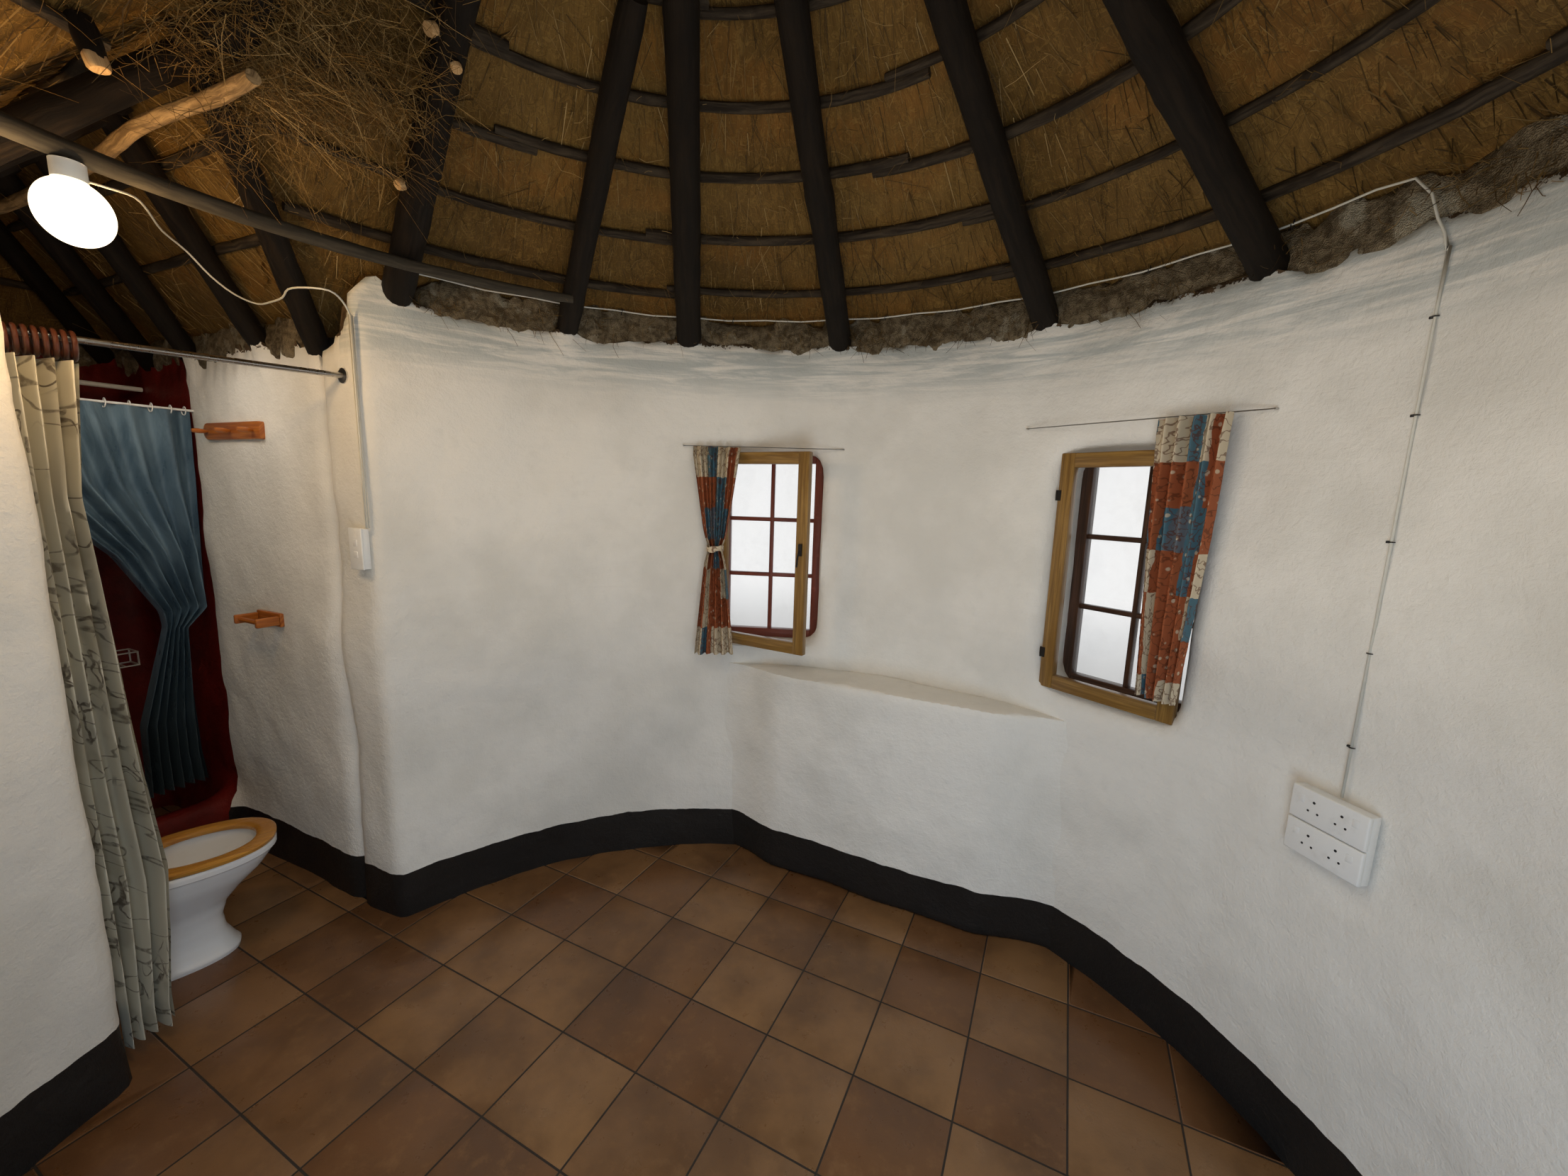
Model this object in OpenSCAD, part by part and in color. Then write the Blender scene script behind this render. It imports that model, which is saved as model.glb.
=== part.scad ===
/* [Round room] */
// Inner radius of the round room
room_r = 1750; // [1600:10:2400]
// Thickness of the round wall
wall_t = 280; // [220:10:360]
// Height of the inner wall face above the floor
wall_h = 2500; // [2350:10:3000]
// Floor height above the ground outside
floor_t = 100; // [60:5:200]

/* [Window ledge] */
// Height of the ledge above the floor
ledge_h = 1000; // [700:10:1050]
// Azimuth at which the flat ledge face starts
ledge_from = 33; // [25:1:45]
// Azimuth at which the flat ledge face ends
ledge_to = 95; // [85:1:105]

/* [Windows] */
// Width of a window opening
win_w = 520; // [420:10:620]
// Height of a window opening
win_h = 950; // [700:10:1050]
// Sill height above the floor
sill_h = 1100; // [1060:10:1200]
// Width of the sash members
sash_w = 45; // [35:1:60]
// Depth of the sash members
sash_t = 45; // [35:1:60]
// Thickness of the window glass
glass_t = 5; // [3:1:8]
// Width of the inner leaf's members
leaf_w = 55; // [40:1:70]
// Thickness of the inner leaf
leaf_t = 34; // [25:1:45]
// Angle at which the first window's inner leaf stands ajar
leaf_ajar = 25; // [0:1:45]

/* [Door] */
// Width of the doorway
door_w = 900; // [760:10:1000]
// Height of the doorway above the floor
door_h = 2050; // [1900:10:2080]
// Width of the door frame's members, and their depth
door_frame_w = 65; // [50:1:80]
// Depth of the door frame in the wall
door_frame_t = 110; // [90:1:140]
// Thickness of the door's planks
door_t = 32; // [25:1:45]
// Angle at which the door stands open into the room
door_open = 95; // [90:1:105]

/* [Round roof] */
// Pitch of the round roof in degrees
roof_pitch = 35; // [33:1:40]
// Eaves overhang beyond the wall's outer face
eave = 450; // [300:10:600]
// Diameter of the roof poles
rafter_d = 100; // [90:1:130]
// Diameter of the laths that carry the thatch
lath_d = 36; // [25:1:45]
// Plan spacing of the lath rings
lath_step = 197; // [150:1:220]
// Thickness of the thatch, across the slope
thatch_t = 190; // [150:5:240]
// Diameter of the block at the top of the poles
apex_block_d = 240; // [220:5:300]
// Radius of the cap over the apex
cap_r = 430; // [350:5:500]
// Thickness of the caps over the apex and the ridge
cap_t = 35; // [25:1:50]

/* [Washroom wing] */
// Half the inner width of the wing
wing_half = 500; // [450:5:600]
// Length of the wing inside, beyond the round wall's outer face
wing_l = 1720; // [1420:10:2170]
// Thickness of the wing's walls
wing_wall_t = 220; // [180:5:280]
// How far the tops of the wing's walls lie below the round wall's
wing_drop = 150; // [50:10:250]
// Pitch of the wing's roof in degrees
wing_pitch = 45; // [42:1:47]
// Eaves overhang of the wing
wing_eave = 300; // [200:10:350]
// Diameter of the wing's roof poles
wing_rafter_d = 80; // [65:1:110]
// Thickness of the wing's thatch, across the slope
wing_thatch_t = 160; // [130:5:200]
// Diameter of the wing's ridge and valley poles
wing_pole_d = 80; // [65:1:100]
// Diameter of the bent pole that carries the roof over the opening
header_d = 57; // [45:1:65]

/* [Fittings] */
// Diameter of the opal globe
globe_d = 180; // [150:5:200]
// Diameter of the curtain rail
rail_d = 20; // [16:1:28]
// Outer diameter of the curtain rings
ring_d = 84; // [70:1:95]
// Height of the shower's kerb above the floor
kerb_h = 255; // [150:5:300]
// Thickness of the shower's kerb
kerb_t = 100; // [80:5:150]
// Height of the toilet's rim above the floor
rim_h = 425; // [380:5:450]
// Angle at which the toilet is turned from the wing's wall towards the room
toilet_turn = 23.5; // [0:0.5:30]

/* [Hidden] */
$fn = 192;

// Running clearance between pieces that only rest on each other
seat = 0.3;
far = 9000;

// Azimuths, in degrees from +X and counter-clockwise seen from above
win_az = [85, 34.3];
door_az = 270;
wing_az = 155.3;
// The wing's centre line lies this far to the left of the room's centre
wing_shift = 50;
// The opening into the wing ends here on its left, short of the wing's wall
opening_left = 296;

wall_out = room_r + wall_t;
wall_z = floor_t + wall_h;
tan_p = tan(roof_pitch);
cos_p = cos(roof_pitch);
wing_z = wall_z - wing_drop;
tan_w = tan(wing_pitch);
cos_w = cos(wing_pitch);
wing_out = wing_half + wing_wall_t;
wing_end = wall_out + wing_l;

// Height of the round roof's slope at radius r, off millimetres above the poles' undersides
function roof_z(r, off = 0) = wall_z + off / cos_p - (r - room_r) * tan_p;
// The same for the wing's slope, y from its centre line
function wing_slope_z(y, off = 0) = wing_z + off / cos_w - (abs(y) - wing_half) * tan_w;

// Layers of the round roof, measured across the slope
lath_off = rafter_d + 2 * seat;
under_off = lath_off + lath_d + seat;
outer_off = under_off + thatch_t;
eave_r = wall_out + eave;
eave_rake = 70;
// Layers of the wing's roof
wing_lath_off = wing_rafter_d + 2 * seat;
wing_under_off = wing_lath_off + lath_d + seat;
wing_outer_off = wing_under_off + wing_thatch_t;
wing_eave_y = wing_out + wing_eave;
wing_eave_x = wing_end + wing_wall_t + wing_eave;
wing_hip_x = wing_end - wing_half;
ridge_z = wing_slope_z(0) - wing_pole_d / 2 / cos_w;

// Poles of the round roof: azimuths, and the radius at which their heads stop
long_az = [354, 98, 181, 271];
middle_az = [46.5, 136, 226, 316];
short_az = [23.5, 75, 203, 248, 293, 335];
long_head = apex_block_d / 2 + seat;
middle_head = 230;
short_head = 480;
rafter_foot = eave_r - 80;
// This pole lands on the wing's ridge pole
ridge_rafter_az = 157.6;
ridge_rafter_foot = room_r - (ridge_z + wing_pole_d / 2 + 2 * seat - wall_z) / tan_p;
// This one leans across the slope, to its neighbour
lean_foot_az = 117;
lean_head_az = 107;
lean_head_r = 800;

header_r = room_r - 200;
header_from = 115;
header_to = 185;
header_z = roof_z(header_r) - (header_d / 2 + seat) / cos_p;

// Plain solids that several pieces share

module solid_cone(off, r) {
  rotate_extrude()
    polygon([[0, -1], [r, -1], [r, roof_z(r, off)], [0, roof_z(0, off)]]);
}

module in_wing() {
  rotate([0, 0, wing_az]) translate([0, wing_shift, 0]) children();
}

// Everything under the wing's slopes, out to half width w and length x1
module wing_solid(off, w, x1, x0 = 0, z0 = -1) {
  intersection() {
    rotate([90, 0, 90]) translate([0, 0, x0]) linear_extrude(x1 - x0)
      polygon([[-w, z0], [w, z0], [w, wing_slope_z(w, off)], [0, wing_slope_z(0, off)],
               [-w, wing_slope_z(w, off)]]);
    rotate([90, 0, 0]) translate([0, 0, -w - 1]) linear_extrude(2 * w + 2)
      polygon([[x0, z0], [x1, z0], [x1, wing_slope_z(x1 - wing_hip_x, off)],
               [wing_hip_x, wing_slope_z(0, off)], [x0, wing_slope_z(0, off)]]);
  }
}

// A round pole from point p to point q
module pole(p, q, d) {
  v = q - p;
  len = norm(v);
  translate(p) rotate([0, acos(v.z / len), atan2(v.y, v.x)]) cylinder(h = len, d = d);
}

// A roof pole that lies on the round roof's slope, grown by g in diameter
module slope_pole(az, foot, head, d, g = 0) {
  off = d / 2 + seat;
  rotate([0, 0, az]) pole([foot, 0, roof_z(foot, off)], [head, 0, roof_z(head, off)], d + g);
}

module wall_sector(a0, a1) {
  rotate([0, 0, a0]) rotate_extrude(angle = a1 - a0)
    polygon([[room_r, 0], [wall_out, 0], [wall_out, roof_z(wall_out)], [room_r, wall_z]]);
}

module window_hole(i) {
  rotate([0, 0, win_az[i]]) translate([room_r - 200, -win_w / 2, floor_t + sill_h])
    cube([wall_t + 400, win_w, win_h]);
}

// Space between the door jambs, through the wall
module door_space(z0, z1) {
  rotate([0, 0, door_az]) translate([room_r - 200, -door_w / 2, z0]) cube([wall_t + 400, door_w, z1 - z0]);
}

// Space of the opening into the wing
module wing_opening() {
  in_wing() translate([0, -wing_half, -1]) cube([wall_out + 200, wing_half + opening_left, far]);
}

// Floor

module floor_slab() {
  color("sienna") linear_extrude(floor_t) union() {
    circle(r = room_r);
    rotate(wing_az) translate([0, wing_shift]) translate([0, -wing_half])
      square([wall_out + 100, wing_half + opening_left]);
    difference() {
      rotate(wing_az) translate([0, wing_shift]) translate([0, -wing_half]) square([wing_end, 2 * wing_half]);
      circle(r = wall_out);
    }
  }
}

module threshold() {
  color("gray") intersection() {
    rotate([0, 0, door_az - 30]) rotate_extrude(angle = 60)
      polygon([[room_r, 0], [wall_out, 0], [wall_out, floor_t], [room_r, floor_t]]);
    door_space(-1, floor_t + 1);
  }
}

// Round wall, in segments

module wall_back_left_solid() {
  difference() {
    wall_sector(100, 145);
    wing_opening();
  }
}

module wall_left_solid() {
  difference() {
    wall_sector(160, 215);
    wing_opening();
  }
}

module window_bay(i, a0, a1) {
  difference() {
    wall_sector(a0, a1);
    window_hole(i);
  }
}

module wall_back_left() { color("ivory") wall_back_left_solid(); }
module wall_window_1() { color("ivory") window_bay(0, 67, 100); }
module wall_back() { color("ivory") wall_sector(51, 67); }
module wall_window_2() { color("ivory") window_bay(1, 18, 51); }
module wall_right() { color("ivory") wall_sector(-25, 18); }
module wall_front_right() {
  color("ivory") difference() {
    wall_sector(-90, -25);
    door_space(-1, far);
  }
}
module wall_over_door() {
  color("ivory") intersection() {
    wall_sector(door_az - 30, door_az + 30);
    door_space(floor_t + door_h, far);
  }
}
module wall_front_left() {
  color("ivory") difference() {
    wall_sector(215, 270);
    door_space(-1, far);
  }
}
module wall_left() { color("ivory") wall_left_solid(); }

// The wall is thicker and flat-faced below the windows
module window_ledge() {
  mid = (ledge_from + ledge_to) / 2;
  chord = room_r * cos((ledge_to - ledge_from) / 2);
  color("ivory") intersection() {
    translate([0, 0, floor_t]) cylinder(h = ledge_h, r = room_r);
    rotate([0, 0, mid]) translate([chord, -room_r, floor_t - 1]) cube([room_r, 2 * room_r, far]);
  }
}

// Rough filling between the poles, from the wall's top to the thatch
module wall_top_fill() {
  inner = room_r + 20;
  outer = wall_out - 30;
  color("dimgray") difference() {
    rotate_extrude()
      polygon([[inner, roof_z(inner, seat)], [outer, roof_z(outer, seat)],
               [outer, roof_z(outer, under_off - seat)], [inner, roof_z(inner, under_off - seat)]]);
    wing_opening();
    in_wing() translate([0, -wing_out, -1]) cube([far, 2 * wing_out, far]);
    grown_rafters(2 * seat);
    in_wing() for (s = [-1, 1]) valley_pole(s, 2 * seat);
  }
}

// Every pole that crosses the wall's top, grown by g in diameter
module grown_rafters(g) {
  for (a = concat(long_az, middle_az, short_az)) slope_pole(a, rafter_foot, room_r - 100, rafter_d, g);
  leaning_pole(g);
}

// Wing walls

module wing_side_wall(side) {
  difference() {
    intersection() {
      in_wing() wing_solid(0, wing_out, wing_end);
      in_wing() translate([0, side > 0 ? wing_half : -wing_out, 0]) cube([wing_end, wing_wall_t, far]);
    }
    cylinder(h = far, r = wall_out);
  }
}

module wing_wall_right() { color("ivory") wing_side_wall(-1); }
module wing_wall_left() { color("ivory") wing_side_wall(1); }
module wing_wall_end() {
  color("firebrick") in_wing() intersection() {
    wing_solid(0, wing_out, wing_end + wing_wall_t);
    translate([wing_end, -wing_out, 0]) cube([wing_wall_t, 2 * wing_out, far]);
  }
}

// Filling on the wing's walls, up to its thatch
module wing_top_fill() {
  inset = 20;
  color("dimgray") difference() {
    in_wing() difference() {
      wing_solid(wing_under_off - seat, wing_out - inset, wing_end + wing_wall_t - inset);
      wing_solid(seat, wing_out, wing_end + wing_wall_t);
      translate([0, -wing_half - inset, 0]) cube([wing_end + inset, 2 * (wing_half + inset), far]);
      wing_pole_set(2 * seat);
      for (s = [-1, 1]) valley_pole(s, 2 * seat);
    }
    cylinder(h = far, r = wall_out + 150);
  }
}

// Windows

module in_window(i) {
  rotate([0, 0, win_az[i]]) translate([0, 0, floor_t + sill_h]) children();
}

sash_x = wall_out - 120;
module frame_bars(x, w, h, bar, t) {
  translate([x, -w / 2, 0]) difference() {
    cube([t, w, h]);
    translate([-1, bar, bar]) cube([t + 2, w - 2 * bar, h - 2 * bar]);
  }
}

module window_sash(i) {
  in_window(i) difference() {
    translate([0, 0, seat]) frame_bars(sash_x, win_w - 2 * seat, win_h - 2 * seat, sash_w, sash_t);
    translate([sash_x + sash_t / 2 - glass_t / 2 - seat, -win_w / 2 + sash_w - 8, sash_w - 8])
      cube([glass_t + 2 * seat, win_w - 2 * sash_w + 16, win_h - 2 * sash_w + 16]);
  }
}

module window_sash_1() { color("brown") window_sash(0); }
module window_sash_2() { color("saddlebrown") window_sash(1); }

module window_glass() {
  color("lightblue", 0.4) for (i = [0, 1]) in_window(i)
    translate([sash_x + sash_t / 2 - glass_t / 2, -win_w / 2 + sash_w - 8 + seat, sash_w - 8 + seat])
      cube([glass_t, win_w - 2 * sash_w + 16 - 2 * seat, win_h - 2 * sash_w + 16 - 2 * seat]);
}

// Inner leaf, hung on its left edge as seen from the room
leaf_gap = 12;
leaf_x = sqrt(pow(room_r, 2) - pow(win_w / 2, 2)) + 4;
pin_d = 12;
module window_leaf(i, swing) {
  hinge_y = win_w / 2 - pin_d / 2 - seat;
  w = win_w - leaf_gap - pin_d / 2;
  in_window(i) translate([leaf_x, hinge_y, leaf_gap]) rotate([0, 0, -swing]) union() {
    translate([0, -w, 0]) difference() {
      cube([leaf_t, w, win_h - 2 * leaf_gap]);
      translate([-1, leaf_w, leaf_w]) cube([leaf_t + 2, w - 2 * leaf_w, win_h - 2 * leaf_gap - 2 * leaf_w]);
    }
    for (z = [120, win_h - 2 * leaf_gap - 180]) translate([0, 0, z]) cylinder(h = 60, d = pin_d);
  }
}

module window_leaf_1() { color("darkgoldenrod") window_leaf(0, leaf_ajar); }
module window_leaf_2() { color("darkgoldenrod") window_leaf(1, 0); }

// Door, standing open into the room on its left jamb

door_x = sqrt(pow(room_r, 2) - pow(door_w / 2, 2)) + 10;
door_leaf_w = door_w - 2 * door_frame_w + 20;
door_leaf_h = door_h - door_frame_w + 6;
knuckle_d = 16;
module in_door() { rotate([0, 0, door_az]) translate([door_x, 0, floor_t]) children(); }

// The leaf's own axes: x towards the outer side, y from the hinges to the free edge
module in_door_leaf() {
  in_door() translate([-knuckle_d / 2 - seat, -door_w / 2 + door_frame_w - 12, 6])
    rotate([0, 0, door_open]) children();
}

module door_frame() {
  h = door_h - 2 * seat;
  w = door_w - 2 * seat;
  rebate = 14;
  color("saddlebrown") in_door() difference() {
    translate([0, -w / 2, seat]) cube([door_frame_t, w, h]);
    translate([-1, -w / 2 + door_frame_w, -1])
      cube([door_frame_t + 2, w - 2 * door_frame_w, h - door_frame_w + 1]);
    translate([-1, -w / 2 + door_frame_w - rebate, -1])
      cube([door_t + 5, w - 2 * door_frame_w + 2 * rebate, h - door_frame_w + 1 + rebate]);
  }
}

module door_leaf() {
  ledge_t = 28;
  ledge_w = 120;
  face = -knuckle_d / 2;
  color("peru") in_door_leaf() union() {
    translate([face, 0, 0]) cube([door_t, door_leaf_w, door_leaf_h]);
    for (z = [220, door_leaf_h / 2 - 60, door_leaf_h - 320]) {
      translate([face - ledge_t, 60, z]) cube([ledge_t, door_leaf_w - 120, ledge_w]);
      translate([0, 0, z + 15]) cylinder(h = 90, d = knuckle_d);
    }
  }
}

module door_handle() {
  reach = 45;
  bar_d = 12;
  color("dimgray") in_door_leaf()
    translate([door_t - knuckle_d / 2 + seat, door_leaf_w - 60, 1000]) union() {
      translate([0, -20, -80]) cube([4, 40, 160]);
      for (z = [-55, 55]) translate([0, 0, z]) rotate([0, 90, 0]) cylinder(h = reach, d = bar_d);
      translate([reach - bar_d / 2, 0, -55 - bar_d / 2]) cylinder(h = 110 + bar_d, d = bar_d);
    }
}

// Roof poles of the round room

module rafters_long() {
  color("#2b1d14") difference() {
    for (a = long_az) slope_pole(a, rafter_foot, long_head - 40, rafter_d);
    cylinder(h = far, r = long_head);
  }
}
module rafters_middle() {
  color("#2b1d14") for (a = middle_az) slope_pole(a, rafter_foot, middle_head, rafter_d);
}

// A slightly thinner pole that runs aslant, so it clears the laths and the wall
module leaning_pole(g = 0) {
  off = rafter_d / 2 + seat;
  pole([rafter_foot * cos(lean_foot_az), rafter_foot * sin(lean_foot_az), roof_z(rafter_foot, off)],
       [lean_head_r * cos(lean_head_az), lean_head_r * sin(lean_head_az), roof_z(lean_head_r, off)],
       rafter_d - 10 + g);
}

module rafters_short() {
  color("#2b1d14") {
    for (a = short_az) slope_pole(a, rafter_foot, short_head, rafter_d);
    slope_pole(ridge_rafter_az, ridge_rafter_foot, short_head, rafter_d);
    leaning_pole();
  }
}

module apex_block() {
  color("#2b1d14") translate([0, 0, roof_z(0) - 260]) cylinder(h = 300, d = apex_block_d);
}

// Lath rings inside the wall and under the eaves
lath_in = [for (r = [room_r - 100 : -lath_step : 300]) r];
lath_eave = [wall_out + 60, wall_out + 210, wall_out + 360];
module lath_rings() {
  off = lath_off + lath_d / 2;
  color("#4a3626") difference() {
    for (r = concat(lath_in, lath_eave))
      translate([0, 0, roof_z(r, off)]) rotate_extrude() translate([r, 0]) circle(d = lath_d, $fn = 24);
    in_wing() wing_solid(wing_under_off, wing_out + 40, wing_end);
  }
}

// Bent pole under the roof poles, across the opening into the wing
module header_pole() {
  color("#3a3028") translate([0, 0, header_z]) rotate([0, 0, header_from])
    rotate_extrude(angle = header_to - header_from) translate([header_r, 0]) circle(d = header_d, $fn = 32);
}

// Poles of the wing's roof. Each lies on a slope, seat above it.

// Point on the axis of a pole of diameter d, y from the centre line
function side_axis(x, y, d) = [x, y, wing_slope_z(y, d / 2 + seat)];

// The valley poles pass the wall's inner face and the ridge this far out from where the slopes meet
valley_foot = sqrt(pow(room_r + wing_drop / tan_p, 2) - pow(wing_half, 2)) + 60;
valley_head = room_r - (wing_slope_z(0) - wall_z) / tan_p + 150;
module valley_pole(side, g = 0) {
  wing_pole(side, valley_foot, valley_head, wing_half + 130, wing_pole_d, g);
}

module valley_poles() {
  color("#4b3a2a") in_wing() for (s = [-1, 1]) valley_pole(s);
}

module wing_ridge_pole() {
  from = room_r - 600;
  color("#8a6a42") in_wing() translate([from, 0, ridge_z]) rotate([0, 90, 0])
    cylinder(h = wing_hip_x + 30 - from, d = wing_pole_d);
}

// A pole on a side slope, through x_foot over the wall's inner face and x_head at the ridge,
// down to y_end, mitred at the ridge and grown by g in diameter
module wing_pole(side, x_foot, x_head, y_end, d, g) {
  slant = (x_foot - x_head) / wing_half;
  past = 80;
  head = side_axis(x_head, 0, d);
  intersection() {
    pole(side_axis(x_head + slant * y_end, side * y_end, d),
         head + [-slant * past, -side * past, past * tan_w], d + g);
    translate([0, side > 0 ? seat : -far - seat, 0]) cube([far, far, far]);
  }
}

// The rafter in the middle of the hipped end
module wing_end_rafter(g) {
  off = wing_rafter_d / 2 + seat;
  x0 = wing_eave_x - 60;
  x1 = wing_hip_x + 175;
  pole([x0, 0, wing_slope_z(x0 - wing_hip_x, off)], [x1, 0, wing_slope_z(x1 - wing_hip_x, off)],
       wing_rafter_d + g);
}

// Where the poles of each side pass the wall's inner face and the ridge; the last pair are the hips,
// which lie as far from the end slope as from the side slope
wing_pole_at = [[wall_out + 312, wall_out - 88], [wing_end - 800, wing_hip_x - 800],
                [wing_end - 400, wing_hip_x - 400], [wing_end, wing_hip_x]];
module wing_pole_set(g) {
  for (s = [-1, 1]) for (at = wing_pole_at) wing_pole(s, at[0], at[1], wing_eave_y - 60, wing_rafter_d, g);
  wing_end_rafter(g);
}

module wing_rafters() { color("#2b1d14") in_wing() wing_pole_set(0); }

wing_lath_y = [150, 330, 820, 960];
module wing_laths() {
  off = wing_lath_off + lath_d / 2;
  color("#4a3626") difference() {
    in_wing() for (y = wing_lath_y) {
      z = wing_slope_z(y, off);
      for (s = [-1, 1]) translate([0, s * y, z]) rotate([0, 90, 0])
        cylinder(h = wing_hip_x + y - 35, d = lath_d, $fn = 24);
      translate([wing_hip_x + y, -y + 25, z]) rotate([-90, 0, 0])
        cylinder(h = 2 * y - 50, d = lath_d, $fn = 24);
    }
    solid_cone(under_off + 20, eave_r + 40);
  }
}

// Thatch

module thatch_round() {
  color("goldenrod") difference() {
    rotate_extrude()
      polygon([[0, roof_z(0, under_off)], [eave_r - eave_rake, roof_z(eave_r - eave_rake, under_off)],
               [eave_r, roof_z(eave_r, outer_off)], [0, roof_z(0, outer_off)]]);
    in_wing() wing_solid(wing_under_off, wing_out + seat, wing_end);
  }
}

module thatch_wing() {
  color("goldenrod") difference() {
    in_wing() difference() {
      wing_solid(wing_outer_off, wing_eave_y, wing_eave_x, 500, 1000);
      wing_solid(wing_under_off, wing_eave_y + 10, wing_eave_x + 10);
    }
    solid_cone(outer_off, eave_r);
  }
}

// Mortar caps over the apex and along the wing's ridge

module apex_cap() {
  color("lightgray") rotate_extrude()
    polygon([[0, roof_z(0, outer_off + seat)], [cap_r, roof_z(cap_r, outer_off + seat)],
             [cap_r, roof_z(cap_r, outer_off + seat + cap_t)], [60, roof_z(60, outer_off + cap_t + 12)],
             [0, roof_z(60, outer_off + cap_t + 12) + 10]]);
}

module ridge_cap() {
  w = 220;
  color("lightgray") difference() {
    in_wing() difference() {
      intersection() {
        wing_solid(wing_outer_off + seat + cap_t, wing_eave_y, wing_eave_x, 500, 1000);
        translate([500, -w, 0]) cube([wing_hip_x + w - 500, 2 * w, far]);
      }
      wing_solid(wing_outer_off + seat, wing_eave_y + 10, wing_eave_x + 10);
    }
    solid_cone(outer_off + seat, eave_r);
  }
}

// Washroom fittings

rail_a = [room_r + 30, -wing_half, floor_t + 2234];
rail_b = [room_r + 150, opening_left, floor_t + 2215];
rail_run = rail_b - rail_a;
// Point of the rail's axis at y
function rail_at(y) = rail_a + rail_run * (y - rail_a.y) / rail_run.y;
module curtain_rail() {
  u = rail_run / norm(rail_run);
  clear = 4;
  flange_d = 55;
  flange_t = 8;
  color("silver") in_wing() union() {
    pole(rail_a + u * clear, rail_b - u * clear, rail_d);
    translate(rail_a + [0, seat, 0]) rotate([-90, 0, 0]) cylinder(h = flange_t, d = flange_d);
    translate(rail_b - [0, seat, 0]) rotate([90, 0, 0]) cylinder(h = flange_t, d = flange_d);
  }
}

// Wooden rings, pushed together at the left end of the rail and hanging on it
ring_bar = 12;
ring_from = opening_left - 144;
ring_step = 17;
ring_count = 8;
ring_drop = ring_d / 2 - ring_bar - rail_d / 2 - seat;
module curtain_rings() {
  turn = atan2(rail_run.y, rail_run.x);
  color("#3a1a10") in_wing() for (i = [0 : ring_count - 1])
    translate(rail_at(ring_from + i * ring_step) - [0, 0, ring_drop]) rotate([90, 0, turn - 90])
      rotate_extrude() translate([(ring_d - ring_bar) / 2, 0]) circle(d = ring_bar, $fn = 24);
}

// Bunched curtain, as a tapered slab below the rings
module washroom_curtain() {
  y0 = ring_from - 12;
  y1 = ring_from + (ring_count - 1) * ring_step + 10;
  top = rail_at(y1).z - ring_drop - ring_d / 2 - seat;
  color("lightgray") in_wing() hull() {
    translate([room_r + 75, y0, top - 10]) cube([100, y1 - y0, 10]);
    translate([room_r + 25, y0 - 5, floor_t + 50]) cube([150, y1 - y0, 10]);
  }
}

kerb_x = wing_end - 760;
module shower_kerb() {
  color("firebrick") in_wing() translate([kerb_x, -wing_half, floor_t]) cube([kerb_t, 2 * wing_half, kerb_h]);
}

// A thin rail for the shower's curtain, and a stouter one across the middle of the recess
shower_x = kerb_x - 40;
shower_rail_z = floor_t + 2140;
shower_rail_d = 10;
module shower_rail() {
  middle = [wing_end - 315, floor_t + 2254, 22];
  color("white") in_wing() for (rail = [[shower_x, shower_rail_z, shower_rail_d], middle])
    translate([rail[0], -wing_half + seat, rail[1]]) rotate([-90, 0, 0])
      cylinder(h = 2 * (wing_half - seat), d = rail[2]);
}

// Wire rack for soap on the end wall
module shower_rack() {
  wire = 6;
  w = 300;
  reach = 110;
  rise = 70;
  color("white") in_wing() translate([wing_end - seat, -120 - w, floor_t + 850]) union() {
    for (z = [0, rise]) {
      for (x = [-reach, -wire]) translate([x, 0, z]) cube([wire, w, wire]);
      for (y = [0, w - wire]) translate([-reach, y, z]) cube([reach, wire, wire]);
    }
    for (y = [0, w - wire]) for (x = [-reach, -wire]) translate([x, y, 0]) cube([wire, wire, rise + wire]);
    for (y = [50 : 50 : w - 50]) translate([-reach, y, 0]) cube([reach, wire, wire]);
  }
}

// The sheet is drawn to the right wall and tied there
module shower_curtain() {
  sheet_t = 90;
  top = shower_rail_z - shower_rail_d / 2 - seat - floor_t;
  wall = -wing_half;
  color("steelblue") in_wing() translate([shower_x - sheet_t / 2, 0, floor_t]) rotate([90, 0, 90])
    linear_extrude(sheet_t - 10)
      polygon([[wall + 12, top], [200, top], [80, 1800], [wall + 330, 1500], [wall + 206, 1237],
               [wall + 200, 1170], [wall + 319, 732], [wall + 330, 400], [wall + 110, 400], [wall + 121, 560],
               [wall + 122, 1159], [wall + 36, 1244], [wall + 18, 1840]]);
}

module toilet_outline(r, front, back) {
  hull() {
    translate([front - r, 0]) circle(r = r, $fn = 32);
    translate([back, -r * 0.8]) square([10, 1.6 * r]);
  }
}

// The toilet stands by the wing's left wall, turned towards the room; x runs from its back to its front
toilet_x = wall_out + 356;
toilet_gap = 12;
tank_w = 396;
module in_toilet() {
  back_y = wing_half - toilet_gap - tank_w / 2 * sin(toilet_turn);
  in_wing() translate([toilet_x, back_y, floor_t]) rotate([0, 0, -90 - toilet_turn]) children();
}

module toilet_pan() {
  color("white") in_toilet() difference() {
    hull() {
      translate([0, 0, rim_h - 40]) linear_extrude(40) toilet_outline(180, 740, 190);
      translate([0, 0, seat]) linear_extrude(10) toilet_outline(115, 600, 120);
    }
    hull() {
      translate([0, 0, rim_h - 20]) linear_extrude(30) toilet_outline(140, 700, 330);
      translate([520, 0, rim_h - 230]) cylinder(h = 10, d = 130, $fn = 32);
    }
  }
}

module toilet_seat() {
  color("orange") in_toilet() translate([0, 0, rim_h + seat]) linear_extrude(22) difference() {
    toilet_outline(185, 745, 280);
    toilet_outline(125, 680, 370);
  }
}

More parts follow.
